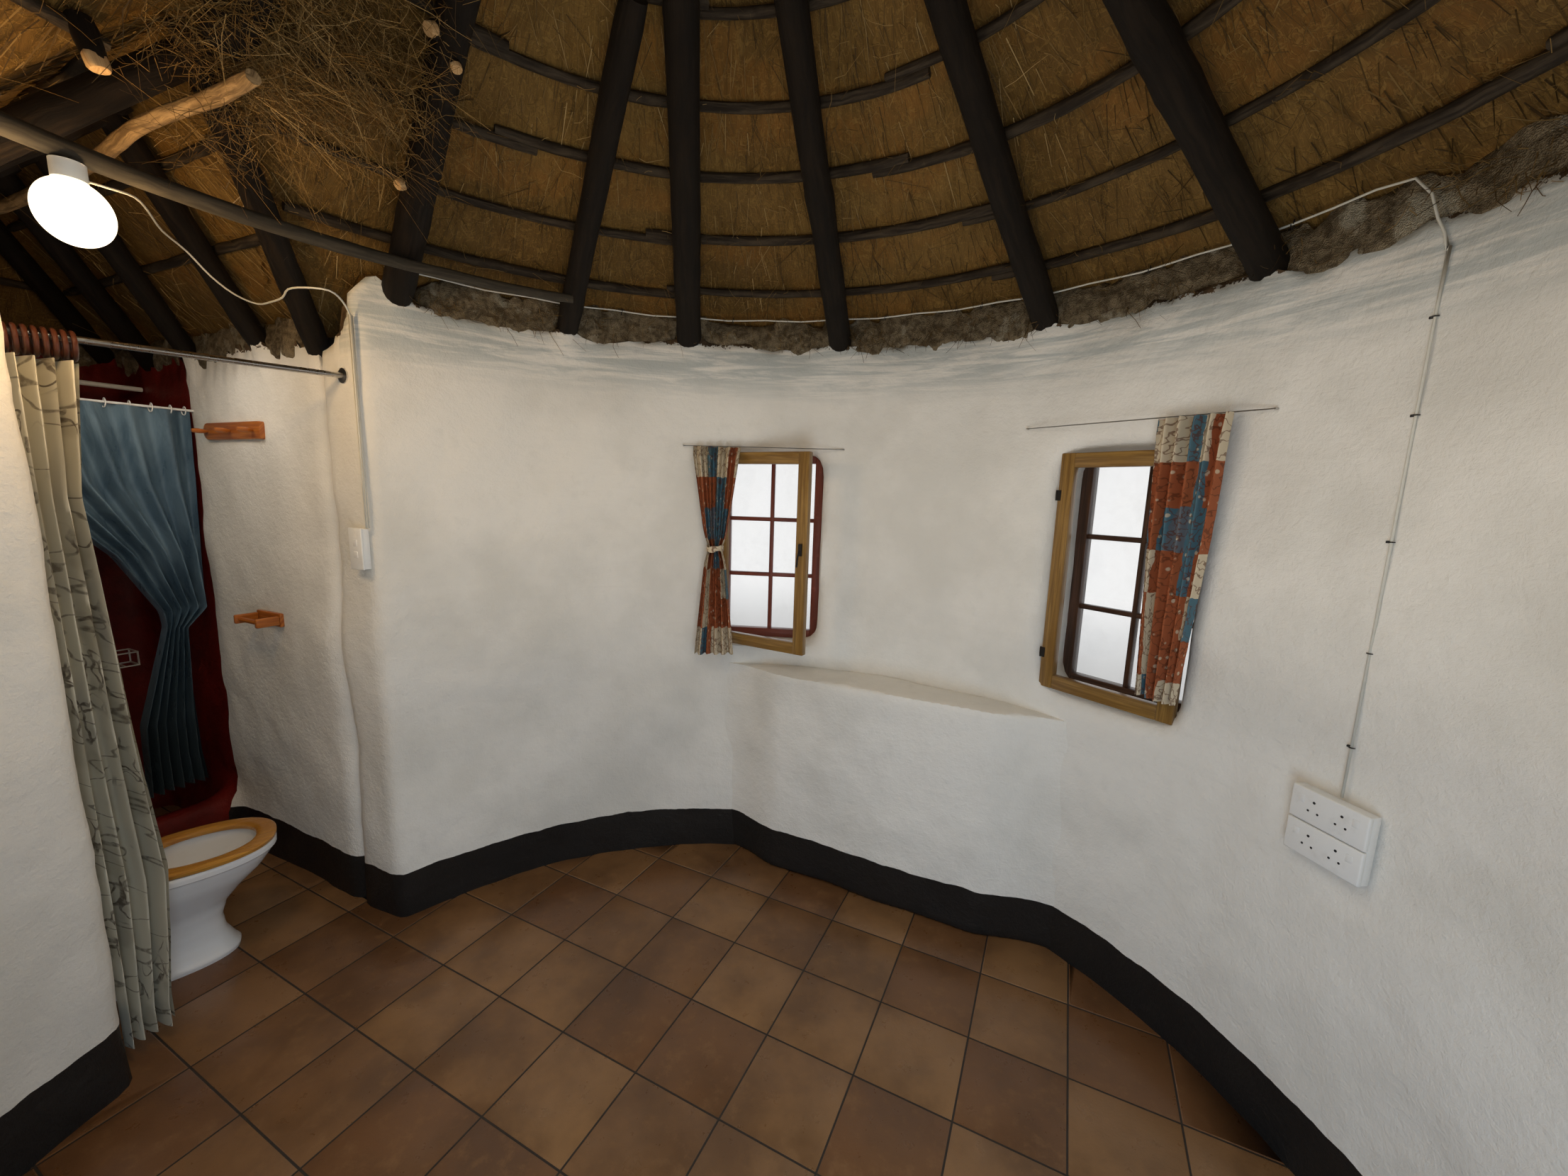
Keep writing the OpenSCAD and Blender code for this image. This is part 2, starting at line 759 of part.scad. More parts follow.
module toilet_cistern() {
  color("white") in_toilet() union() {
    translate([20, -tank_w / 2 + 8, rim_h + seat]) cube([175, tank_w - 16, 330]);
    translate([12, -tank_w / 2, rim_h + 330 + seat]) cube([191, tank_w, 30]);
  }
}

// A board with a rounded end and three pegs
module towel_rail() {
  z = floor_t + 2008;
  w = 470;
  h = 74;
  board_t = 20;
  color("darkorange") in_wing() translate([wall_out + 335, -wing_half + seat, z]) union() {
    rotate([-90, 0, 0]) mirror([0, 1, 0]) linear_extrude(board_t) union() {
      square([w - h / 2, h]);
      translate([w - h / 2, h / 2]) circle(d = h);
    }
    for (x = [50, w / 2, w - 40]) translate([x, board_t - 1, h / 2]) rotate([-90, 0, 0])
      cylinder(h = 55, d = 16);
  }
}

module roll_holder() {
  z = floor_t + 1200;
  color("darkorange") in_wing() translate([wall_out + 335, -wing_half + seat, z]) union() {
    cube([190, 18, 60]);
    for (x = [0, 172]) translate([x, 18, 10]) cube([18, 85, 40]);
    translate([18, 85, 30]) rotate([0, 90, 0]) cylinder(h = 154, d = 20);
  }
}

// Light fittings and wiring

lamp_az = 165.2;
// The globe's centre hangs this far below the roof poles
lamp_drop = 188;
lamp_z = roof_z(header_r) - lamp_drop;
module in_lamp() {
  rotate([0, 0, lamp_az]) translate([header_r, 0, 0]) children();
}

module lamp_holder() {
  top = header_z - header_d / 2 - seat;
  color("white") in_lamp() translate([0, 0, lamp_z + globe_d / 2 - 6])
    cylinder(h = top - lamp_z - globe_d / 2 + 6, d = 62);
}

module lamp_globe() {
  color("lightyellow") in_lamp() difference() {
    translate([0, 0, lamp_z]) sphere(d = globe_d);
    translate([0, 0, lamp_z]) sphere(d = globe_d - 8);
    translate([0, 0, lamp_z + globe_d / 2 - 8]) cylinder(h = 40, d = 64);
  }
}

module switch_box() {
  color("white") in_wing() translate([room_r - 48, -wing_half + seat, floor_t + 1510]) cube([80, 34, 160]);
}

socket_az = 10;
module socket_box() {
  color("white") rotate([0, 0, socket_az]) translate([room_r - 45, -95, floor_t + 920]) cube([38, 190, 190]);
}

// A tube of diameter d through the points of a route. start is a direction across its first stretch.
function unit(v) = v / norm(v);
function headings(p) = [for (i = [0 : len(p) - 1]) unit(p[min(i + 1, len(p) - 1)] - p[max(i - 1, 0)])];
// Directions across the route, carried along it without twisting
function across(t, n, i = 0) =
  i == len(t) ? [] : let(m = unit(n - (n * t[i]) * t[i])) concat([m], across(t, m, i + 1));
module tube(p, d, start, sides = 8) {
  t = headings(p);
  s = across(t, start);
  last = (len(p) - 1) * sides;
  polyhedron(
    [for (i = [0 : len(p) - 1]) for (k = [0 : sides - 1])
      p[i] + d / 2 * (cos(360 * k / sides) * s[i] + sin(360 * k / sides) * cross(t[i], s[i]))],
    concat(
      [[for (k = [0 : sides - 1]) k]],
      [[for (k = [sides - 1 : -1 : 0]) last + k]],
      [for (i = [0 : len(p) - 2]) for (k = [0 : sides - 1]) let(n = (k + 1) % sides)
        [i * sides + k, (i + 1) * sides + k, (i + 1) * sides + n, i * sides + n]]));
}

// Points of a smooth curve through the points p, n to each stretch
function curve_at(a, b, c, d, u) =
  (2 * b + (c - a) * u + (2 * a - 5 * b + 4 * c - d) * u * u + (3 * b - a - 3 * c + d) * u * u * u) / 2;
function smooth(p, n) = concat(
  [for (i = [0 : len(p) - 2]) for (k = [0 : n - 1])
    curve_at(p[max(i - 1, 0)], p[i], p[i + 1], p[min(i + 2, len(p) - 1)], k / n)],
  [p[len(p) - 1]]);

function polar(r, az, z) = [r * cos(az), r * sin(az), z];

// Conduit up the corner from the switch, and a cable that hangs from its top under the wing's poles to
// the lamp. Another cable starts on the pole next to that corner and runs round the room, over the
// poles' feet, and down to the sockets.
cable_d = 9;
clip_gap = 2.5;
conduit_d = 16;
conduit_y = -wing_half + conduit_d / 2 + seat;
conduit_at = [room_r - 50, -wing_half, wall_z - 60];
// From the corner at the conduit's top
lamp_route = [[0, conduit_y + wing_half, 0], [-28, 48, 34], [-50, 100, 50], [0, 148, 50], [90, 152, 53],
              [160, 137, 38], [250, 132, 33], [335, 134, 35], [410, 165, 66], [443, 215, 116],
              [438, 275, 176], [340, 370, 192], [140, 470, 178], [-30, 555, 152], [-98, 625, 132],
              [-124, 680, 122], [-134, 722, 116]];
cable_r = room_r - 5;
cable_z = roof_z(cable_r, rafter_d + cable_d / 2 + 3 * seat);
cable_rise = 6;
cable_from = 137;
cable_to = socket_az + 3;
cable_steps = 22;
wall_route = concat(
  [for (i = [0 : cable_steps]) let(a = cable_from + (cable_to - cable_from) * i / cable_steps)
    polar(cable_r, a, cable_z + cable_rise * (i % 2))],
  [polar(room_r - 8, socket_az + 1, wall_z + 20),
   polar(room_r - cable_d / 2 - clip_gap, socket_az, wall_z - 60),
   polar(room_r - cable_d / 2 - clip_gap, socket_az, wall_z - 180),
   polar(room_r - cable_d / 2 - clip_gap, socket_az, floor_t + 1110 + seat)]);

module wall_cable() {
  color("white") union() {
    in_wing() {
      translate([conduit_at.x, conduit_y, floor_t + 1670])
        cylinder(h = conduit_at.z - floor_t - 1670, d = conduit_d);
      translate(conduit_at) tube(smooth(lamp_route, 3), cable_d, [0, 1, 0]);
    }
    tube(smooth(wall_route, 2), cable_d, [0, 1, 0]);
  }
}

// Each window's curtain wire is stretched between two hooks in the wall

wire_d = 4;
hook_r = room_r - 14;
wire_from = [73.4, 20.5];
wire_to = [98.5, 47];
wire_z = [sill_h + win_h + 12, sill_h + win_h + 85];
// Radius at which wire i passes an azimuth
function wire_r(i, az) =
  hook_r * cos((wire_to[i] - wire_from[i]) / 2) / cos(az - (wire_to[i] + wire_from[i]) / 2);

module curtain_wires() {
  color("gray") for (i = [0, 1]) {
    z = floor_t + wire_z[i];
    pole([hook_r * cos(wire_from[i]), hook_r * sin(wire_from[i]), z],
         [hook_r * cos(wire_to[i]), hook_r * sin(wire_to[i]), z], wire_d);
    for (a = [wire_from[i], wire_to[i]]) rotate([0, 0, a]) translate([hook_r - 3, 0, z]) rotate([0, 90, 0])
      cylinder(h = room_r - hook_r + 3 - seat, d = 6);
  }
}

// Curtains of the windows, w wide at the top and h high. front is a list of half widths and heights, as
// shares of w and h, from the hem up.
curtain_t = 45;
tied = [[0.42, 0], [0.2, 0.52]];
loose = [[0.3, 0], [0.44, 0.6]];
module window_curtain(i, az, w, h, inward, outline) {
  heading = 15;
  top = floor_t + wire_z[i] - wire_d / 2 - seat;
  face = wire_r(i, az) - inward - curtain_t / 2;
  half = concat([for (p = outline) [p[0] * w, p[1] * h]], [[w / 2, h - heading], [w / 2, h]]);
  n = len(half);
  color("indianred") rotate([0, 0, az]) union() {
    translate([face, 0, top - h]) rotate([90, 0, 90]) linear_extrude(curtain_t)
      polygon(concat(half, [for (k = [n - 1 : -1 : 0]) [-half[k][0], half[k][1]]]));
    translate([face, -w / 2, top - heading]) cube([inward + curtain_t / 2 + wire_d, w, heading]);
  }
}

// The first is tied in the middle and hangs in front of the leaf that stands ajar
module window_curtain_1() { window_curtain(0, 93.2, 225, 990, 62, tied); }
module window_curtain_2() { window_curtain(1, 27.2, 225, 930, 4, loose); }

floor_slab();
threshold();
wall_back_left();
wall_window_1();
wall_back();
wall_window_2();
wall_right();
wall_front_right();
wall_over_door();
wall_front_left();
wall_left();
window_ledge();
wall_top_fill();
wing_wall_right();
wing_wall_left();
wing_wall_end();
wing_top_fill();
window_sash_1();
window_sash_2();
window_glass();
window_leaf_1();
window_leaf_2();
door_frame();
door_leaf();
door_handle();
rafters_long();
rafters_middle();
rafters_short();
apex_block();
lath_rings();
header_pole();
valley_poles();
wing_ridge_pole();
wing_rafters();
wing_laths();
thatch_round();
thatch_wing();
apex_cap();
ridge_cap();
curtain_rail();
curtain_rings();
washroom_curtain();
shower_kerb();
shower_rail();
shower_rack();
shower_curtain();
window_curtain_1();
window_curtain_2();
curtain_wires();
toilet_pan();
toilet_seat();
toilet_cistern();
lamp_holder();
lamp_globe();
switch_box();
socket_box();
wall_cable();
towel_rail();
roll_holder();
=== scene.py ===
"""The finished look of a round thatched hut with a washroom wing, built round its fixed frame."""
import logging
import math
from contextlib import contextmanager
from dataclasses import dataclass, field
from enum import Enum
from typing import Callable, Iterator, Sequence

import bpy
import numpy as np
from mathutils import Matrix, Vector


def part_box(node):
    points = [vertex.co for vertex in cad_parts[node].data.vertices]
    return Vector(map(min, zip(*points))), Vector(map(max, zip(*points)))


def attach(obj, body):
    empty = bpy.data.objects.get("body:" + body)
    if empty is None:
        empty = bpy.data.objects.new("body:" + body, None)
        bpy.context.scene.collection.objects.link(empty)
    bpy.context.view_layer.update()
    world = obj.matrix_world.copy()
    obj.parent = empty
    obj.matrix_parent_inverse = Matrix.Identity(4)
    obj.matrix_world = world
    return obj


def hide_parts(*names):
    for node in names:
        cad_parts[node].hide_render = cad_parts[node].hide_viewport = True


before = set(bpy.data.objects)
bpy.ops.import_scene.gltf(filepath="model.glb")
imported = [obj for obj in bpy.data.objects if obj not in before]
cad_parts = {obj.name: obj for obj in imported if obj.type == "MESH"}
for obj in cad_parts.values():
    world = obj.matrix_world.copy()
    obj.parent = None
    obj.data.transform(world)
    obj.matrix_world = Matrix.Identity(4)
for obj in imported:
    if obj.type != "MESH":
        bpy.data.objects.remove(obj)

log = logging.getLogger("hut")
Array = np.ndarray
Object = bpy.types.Object
Material = bpy.types.Material
Color = tuple[float, float, float]


# Points


def xyz(x: Array | float, y: Array | float, z: Array | float) -> Array:
    """Points as rows, from arrays or numbers."""
    return np.stack(np.broadcast_arrays(x, y, z), 1).astype(float)


def around(r: Array | float, az: Array, z: Array | float) -> Array:
    """Points as rows, from distances, azimuths in radians and heights."""
    return xyz(r * np.cos(az), r * np.sin(az), z)


def polar(points: Array) -> tuple[Array, Array]:
    """Azimuths in degrees, and distances from the room's axis."""
    return np.degrees(np.arctan2(points[:, 1], points[:, 0])), np.hypot(points[:, 0], points[:, 1])


def unit(ways: Array) -> Array:
    """Rows made one long."""
    return ways / np.linalg.norm(ways, axis=1, keepdims=True)


def turn(degrees: float) -> Matrix:
    """A turn about the vertical."""
    return Matrix.Rotation(math.radians(degrees), 4, "Z")


# Sizes


@dataclass(frozen=True)
class Hut:
    """Driving sizes of the hut and what follows from them, in metres and degrees, in the frame's axes."""

    room_r: float = 1.75
    wall_t: float = 0.28
    wall_out: float = room_r + wall_t
    floor: float = round(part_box("floor_slab")[1][2], 4)
    wall_top: float = round(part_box("wall_back")[1][2], 4)
    pitch: float = 35.0
    rafter_d: float = 0.1
    lath_d: float = 0.036
    thatch_t: float = 0.19
    eave_r: float = wall_out + 0.45
    wing_az: float = 155.3
    wing_shift: float = 0.05
    wing_half: float = 0.5
    wing_wall_t: float = 0.22
    wing_out: float = wing_half + wing_wall_t
    wing_end: float = 3.75
    wing_eave: float = 0.3
    wing_tip: float = wing_end + wing_wall_t + wing_eave
    wing_hip: float = wing_end - wing_half
    wing_top: float = round(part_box("wing_wall_end")[1][2], 4)
    wing_pitch: float = 45.0
    wing_thatch_t: float = 0.16
    shower_x: float = 2.97
    # From the poles' undersides to the thatch, across the slopes
    under: float = rafter_d + lath_d + 0.0009
    wing_under: float = 0.08 + lath_d + 0.0009

    @staticmethod
    def slope_z(top: float, run: Array | float, off: Array | float, pitch: float) -> Array | float:
        """Height of a layer so far above a slope, at a distance out from the slope's foot."""
        tilt = math.radians(pitch)
        return top + off / math.cos(tilt) - run * math.tan(tilt)

    def cone_z(self, r: Array | float, off: Array | float = 0.0) -> Array | float:
        """Height of a layer so far above the undersides of the round roof's poles."""
        return self.slope_z(self.wall_top, r - self.room_r, off, self.pitch)

    def wing_z(self, x: Array | float, y: Array | float, off: Array | float = 0.0) -> Array | float:
        """Height of a layer so far above the undersides of the wing's poles, its hipped end among them."""
        reach = np.maximum(np.abs(y), np.asarray(x) - self.wing_hip)
        return self.slope_z(self.wing_top, reach - self.wing_half, off, self.wing_pitch)

    def from_wing(self, points: Array) -> Array:
        """Points given along and across the wing, put into the frame's axes."""
        heading = np.exp(1j * math.radians(self.wing_az))
        flat = (points[:, 0] + 1j * (points[:, 1] + self.wing_shift)) * heading
        return xyz(flat.real, flat.imag, points[:, 2])

    def to_wing(self, points: Array) -> Array:
        """Points of the frame, given along and across the wing."""
        flat = (points[:, 0] + 1j * points[:, 1]) * np.exp(-1j * math.radians(self.wing_az))
        return xyz(flat.real, flat.imag - self.wing_shift, points[:, 2])

    def wing_place(self) -> Matrix:
        """The wing's own axes, as a matrix."""
        return turn(self.wing_az) @ Matrix.Translation((0, self.wing_shift, 0))


HUT = Hut()


# Shader expressions


class Sig:
    """A shader socket that takes part in Python expressions."""

    def __init__(self, graph: "Graph", socket: bpy.types.NodeSocket) -> None:
        """Wrap a socket of a graph."""
        self.graph, self.socket = graph, socket

    @staticmethod
    def maths(operation: str, turned: bool = False) -> Callable[..., "Sig"]:
        """A method that puts a socket and another value, or the two turned round, into a Math node."""
        def method(self: "Sig", other: "Value" = 0.0) -> "Sig":
            """One Math node."""
            values = {int(turned): self, int(not turned): other}
            return self.graph.node("ShaderNodeMath", values, {"operation": operation})

        return method

    __add__ = __radd__ = maths("ADD")
    __mul__ = __rmul__ = maths("MULTIPLY")
    __sub__, __rsub__ = maths("SUBTRACT"), maths("SUBTRACT", True)
    __truediv__, __pow__ = maths("DIVIDE"), maths("POWER")
    __gt__, __lt__ = maths("GREATER_THAN"), maths("LESS_THAN")
    __abs__, floor, most = maths("ABSOLUTE"), maths("FLOOR"), maths("MAXIMUM")

    def ramp(self, low: float, high: float, to_low: float = 0.0, to_high: float = 1.0) -> "Sig":
        """A smooth step, which gives to_low at low and beyond, and to_high at high and beyond."""
        values = {"Value": self, "From Min": low, "From Max": high, "To Min": to_low, "To Max": to_high}
        return self.graph.node("ShaderNodeMapRange", values, {"interpolation_type": "SMOOTHSTEP"})


Value = float | Sequence[float] | Sig


class Graph:
    """The node tree of one material."""

    def __init__(self, name: str, world: bool = False) -> None:
        """Start a material with its output and one Principled shader, or the world with its output.

        Args:
            name: Name of the material or the world.
            world: True for the world.
        """
        self.owner = (bpy.data.worlds if world else bpy.data.materials).new(name)
        self.owner.use_nodes = True
        self.tree = self.owner.node_tree
        self.tree.nodes.clear()
        self.shader = None if world else self.node("ShaderNodeBsdfPrincipled").socket.node
        self.output = self.tree.nodes.new("ShaderNodeOutputWorld" if world else "ShaderNodeOutputMaterial")
        if not world:
            self.show(Sig(self, self.shader.outputs[0]))

    def show(self, surface: Sig) -> None:
        """Link a shader to the output."""
        self.put(self.output.inputs["Surface"], surface)

    def put(self, socket: bpy.types.NodeSocket, value: Value) -> None:
        """Link or set one socket.

        Args:
            socket: The input.
            value: A number, a colour, or another socket.
        """
        if isinstance(value, Sig):
            self.tree.links.new(value.socket, socket)
        elif isinstance(value, (int, float)):
            socket.default_value = value
        else:
            socket.default_value = (*value, 1.0)[:len(socket.default_value)]

    def node(self, kind: str, values: dict[int | str, Value] | None = None,
             settings: dict[str, object] | None = None, out: int | str = 0) -> Sig:
        """Add one node.

        Args:
            kind: The node's type.
            values: Values or links of its sockets.
            settings: Its settings, which are set first; stops is a colour ramp's list.
            out: The output that is used.

        Returns:
            That output.
        """
        made = self.tree.nodes.new(kind)
        for key, setting in (settings or {}).items():
            if key == "stops":
                ramp = made.color_ramp.elements
                while len(ramp) < len(setting):
                    ramp.new(0.5)
                for stop, (place, color) in zip(ramp, setting):
                    stop.position = place
                    stop.color = (*color, 1.0)
            else:
                setattr(made, key, setting)
        for key, value in (values or {}).items():
            self.put(made.inputs[key], value)
        return Sig(self, made.outputs[out])

    def place(self) -> Sig:
        """Object coordinates."""
        return self.node("ShaderNodeTexCoord", out="Object")

    def uv(self) -> Sig:
        """The piece's own UV map."""
        return self.node("ShaderNodeTexCoord", out="UV")

    def attribute(self, name: str) -> Sig:
        """A number stored on the mesh."""
        return self.node("ShaderNodeAttribute", settings={"attribute_name": name}, out="Fac")

    def split(self, vector: Sig) -> tuple[Sig, Sig, Sig]:
        """The three parts of a vector."""
        made = self.node("ShaderNodeSeparateXYZ", {0: vector}).socket.node
        return tuple(Sig(self, made.outputs[i]) for i in range(3))

    def join(self, x: Value, y: Value, z: Value = 0.0) -> Sig:
        """A vector from three numbers."""
        return self.node("ShaderNodeCombineXYZ", {0: x, 1: y, 2: z})

    def stretch(self, vector: Sig, by: Sequence[float]) -> Sig:
        """A vector times another."""
        return self.node("ShaderNodeVectorMath", {0: vector, 1: by}, {"operation": "MULTIPLY"})

    def noise(self, vector: Sig, scale: float, detail: float = 3.0, rough: float = 0.55,
              warp: float = 0.0) -> Sig:
        """Smooth noise from 0 to 1, with so many lumps to a metre, in octaves, and distorted by warp."""
        values = {"Vector": vector, "Scale": scale, "Detail": detail, "Roughness": rough, "Distortion": warp}
        return self.node("ShaderNodeTexNoise", values)

    def cells(self, vector: Sig, scale: float, feature: str = "F1") -> Sig:
        """Distance to the points or the edges of random cells, so many to a metre."""
        values = {"Vector": vector, "Scale": scale}
        return self.node("ShaderNodeTexVoronoi", values, {"feature": feature}, "Distance")

    def chance(self, vector: Sig) -> Sig:
        """A random number for each whole place."""
        return self.node("ShaderNodeTexWhiteNoise", {"Vector": vector}, {"noise_dimensions": "3D"}, "Value")

    def blend(self, mask: Value, a: Value, b: Value) -> Sig:
        """Two colours mixed by a mask, which gives the first where it is 0."""
        return self.node("ShaderNodeMix", {0: mask, 6: a, 7: b}, {"data_type": "RGBA"}, 2)

    def coats(self, color: Value, *coats: tuple[Value, Value]) -> Value:
        """A colour with others laid over it, each after its mask."""
        for mask, coat in coats:
            color = self.blend(mask, color, coat)
        return color

    def shades(self, value: Sig, stops: Sequence[tuple[float, Sequence[float]]]) -> Sig:
        """A colour from a number, through a ramp."""
        return self.node("ShaderNodeValToRGB", {0: value}, {"stops": list(stops)})

    def weave(self, uv: Sig) -> Sig:
        """The relief of woven cotton."""
        return self.bump(self.noise(self.stretch(uv, (900, 900, 1)), 1.0, 1), 0.0006, 0.6)

    def bump(self, height: Sig, depth: float, strength: float = 1.0, below: Sig | None = None) -> Sig:
        """A normal from a height of 0 to 1, its depth in metres, and a normal that it lies on."""
        values = {"Height": height, "Distance": depth, "Strength": strength}
        return self.node("ShaderNodeBump", values if below is None else values | {"Normal": below})

    def close(self, **values: Value) -> Material:
        """Set the shader's sockets, named in lower case with underscores, and give the material."""
        for key, value in values.items():
            self.put(self.shader.inputs[key.replace("_", " ").title()], value)
        return self.owner


# Finishes


@dataclass(frozen=True)
class Finish:
    """A finish that makes one material when it is first asked for."""

    name: str
    slot: str

    def paint(self, graph: Graph) -> Material:
        """Build the nodes. Each finish has its own."""
        raise NotImplementedError

    def material(self) -> Material:
        """The material, made once."""
        name = self.name + "_finish"
        return bpy.data.materials.get(name) or self.paint(Graph(name))


def times(color: Color, by: float, more: float = 0.0) -> Color:
    """A darker or lighter colour."""
    return tuple(min(1.0, part * by + more) for part in color)


@dataclass(frozen=True)
class Limewash(Finish):
    """Lumpy limewashed plaster with a black skirting inside, and red paint inside the shower."""

    white: Color = (0.80, 0.77, 0.70)
    shade: Color = (0.68, 0.655, 0.59)
    brushed: Color = (0.37, 0.41, 0.40)
    skirting: Color = (0.012, 0.012, 0.012)
    red: Color = (0.17, 0.012, 0.008)
    dust: Color = (0.36, 0.27, 0.18)
    mud: Color = (0.055, 0.036, 0.02)
    skirting_top: float = 0.3
    lip: float = 0.022
    hump: tuple[float, float] = (-1.31, 1.17)

    def paint(self, graph: Graph) -> Material:
        """Build the nodes."""
        place = graph.place()
        x, y, z = graph.split(place)
        az = math.radians(HUT.wing_az)
        forth = x * math.cos(az) + y * math.sin(az)
        across = abs(y * math.cos(az) - x * math.sin(az) - HUT.wing_shift)
        radius = (x * x + y * y) ** 0.5
        in_room = radius < HUT.room_r + 0.06
        in_wing = (across < HUT.wing_half + 0.04) * (forth > 0.5) * (forth < HUT.wing_end + 0.04)
        inside = in_room.most(in_wing)
        fine = graph.noise(place, 14, 5, 0.65)
        strokes = graph.noise(graph.stretch(place, (2.2, 2.2, 26.0)), 1.0, 4, 0.7, 0.6)
        near_top = z.ramp(HUT.wall_top - 0.26, HUT.wall_top - 0.08) * (radius < HUT.room_r + 0.1)
        splash = z.ramp(0.5, 0.0) * graph.noise(place, 5, 4, 0.7).ramp(0.4, 0.7) * (1.0 - inside)
        below = (z < self.skirting_top + (graph.noise(place, 7, 3) - 0.5) * 0.03) * inside
        torn = (graph.noise(place, 20, 4, 0.7) - 0.5) * 0.09 + (graph.noise(place, 85, 3, 0.7) - 0.5) * 0.05
        near = ((x - self.hump[0]) ** 2 + (y - self.hump[1]) ** 2) ** 0.5
        level = HUT.wing_top + in_room * (HUT.wall_top - HUT.wing_top)
        bare = (z > level + self.lip + torn + near.ramp(0.14, 0.05) * 0.15) * inside
        wet = (forth > HUT.shower_x + (graph.noise(place, 4, 2) - 0.5) * 0.03) * in_wing
        color = graph.coats(
            self.white, (graph.noise(place, 1.6, 4, 0.6).ramp(0.38, 0.68), self.shade),
            (fine.ramp(0.52, 0.75) * 0.35, self.shade),
            (near_top * strokes.ramp(0.36, 0.62) * 0.8, self.brushed),
            (strokes.ramp(0.5, 0.72) * 0.16, self.shade),
            (splash * 0.75, self.dust),
            (below * fine.ramp(0.8, 0.7, 0.95, 1.0), self.skirting),
            (bare, graph.blend(fine.ramp(0.4, 0.65), self.mud, times(self.mud, 2.6))),
            (wet, graph.blend(graph.noise(place, 6, 4, 0.7).ramp(0.35, 0.7), self.red,
                              times(self.red, 0.55))))
        chips = graph.noise(place, 38, 4, 0.7, 0.5)
        normal = graph.bump(fine * 0.6 + chips * 0.3 + strokes * 0.1, 0.010, 0.9)
        normal = graph.bump(graph.noise(place, 110, 3, 0.6), 0.0012, 0.9, normal)
        return graph.close(base_color=color, roughness=0.88 - below.most(wet) * 0.4, normal=normal)


@dataclass(frozen=True)
class FloorTile(Finish):
    """Terracotta tiles, each of its own tint, with dark joints."""

    size: float = 0.314
    turn: float = 64.6
    node: tuple[float, float] = (-1.89, 1.29)
    base: Color = (0.145, 0.066, 0.026)
    pale: Color = (0.235, 0.125, 0.052)
    dark: Color = (0.078, 0.037, 0.016)
    joint: Color = (0.03, 0.023, 0.018)

    def paint(self, graph: Graph) -> Material:
        """Build the nodes."""
        place = graph.place()
        x, y, z = graph.split(place)
        laid = math.radians(self.turn)
        dx, dy = x - self.node[0], y - self.node[1]
        u = (dx * math.cos(laid) + dy * math.sin(laid)) / self.size
        v = (dy * math.cos(laid) - dx * math.sin(laid)) / self.size
        clouds = graph.noise(place, 16, 5, 0.7)
        joint = z < HUT.floor - 0.0015
        color = graph.coats(
            self.base, (graph.chance(graph.join(u.floor(), v.floor(), 3.0)).ramp(0.0, 1.0), self.pale),
            (graph.noise(place, 3.2, 4, 0.6).ramp(0.35, 0.7) * 0.7, self.dark),
            (clouds.ramp(0.5, 0.75) * 0.45, self.pale),
            (graph.cells(place, 210).ramp(0.16, 0.10) * 0.4, self.joint), (joint, self.joint))
        normal = graph.bump(clouds * 0.7 + graph.noise(place, 120, 3) * 0.3, 0.0012, 0.8)
        roughness = clouds.ramp(0.3, 0.7, 0.26, 0.46) + joint * 0.3
        return graph.close(base_color=color, roughness=roughness, normal=normal)


@dataclass(frozen=True)
class Grain(Finish):
    """Wood whose grain follows the piece's UV map, u across and v along, in metres."""

    pale: Color = (0.45, 0.24, 0.085)
    dark: Color = (0.20, 0.085, 0.025)
    gloss: float = 0.42
    coat: float = 0.0
    relief: float = 0.0006
    streak: float = 130.0
    along: float = 4.0
    worn: float = 0.0

    def paint(self, graph: Graph) -> Material:
        """Build the nodes."""
        u, v, _ = graph.split(graph.uv())
        sway = (graph.noise(graph.join(u * 6, v * 1.6), 1.0, 2) - 0.5) * 0.02
        lines = graph.noise(graph.join((u + sway) * self.streak, v * self.along), 1.0, 4, 0.6, 0.3)
        broad = graph.noise(graph.join(u * 22, v * 2.2), 1.0, 3)
        pores = graph.noise(graph.join(u * self.streak * 5, v * self.along * 6), 1.0, 2)
        color = graph.coats(
            self.pale, (lines.ramp(0.34, 0.66), self.dark), (broad.ramp(0.42, 0.72) * 0.55, self.dark),
            (pores.ramp(0.62, 0.75) * 0.5, times(self.dark, 0.45)))
        if self.worn:
            scuff = graph.noise(graph.place(), 24, 5, 0.7).ramp(0.56, 0.7)
            color = graph.blend(scuff * self.worn, color, times(self.pale, 2.2, 0.03))
        normal = graph.bump(lines * 0.6 + pores * 0.4, self.relief, 0.9)
        return graph.close(base_color=color, roughness=lines.ramp(0.3, 0.7, self.gloss, self.gloss + 0.16),
                           normal=normal, coat_weight=self.coat, coat_roughness=0.18)


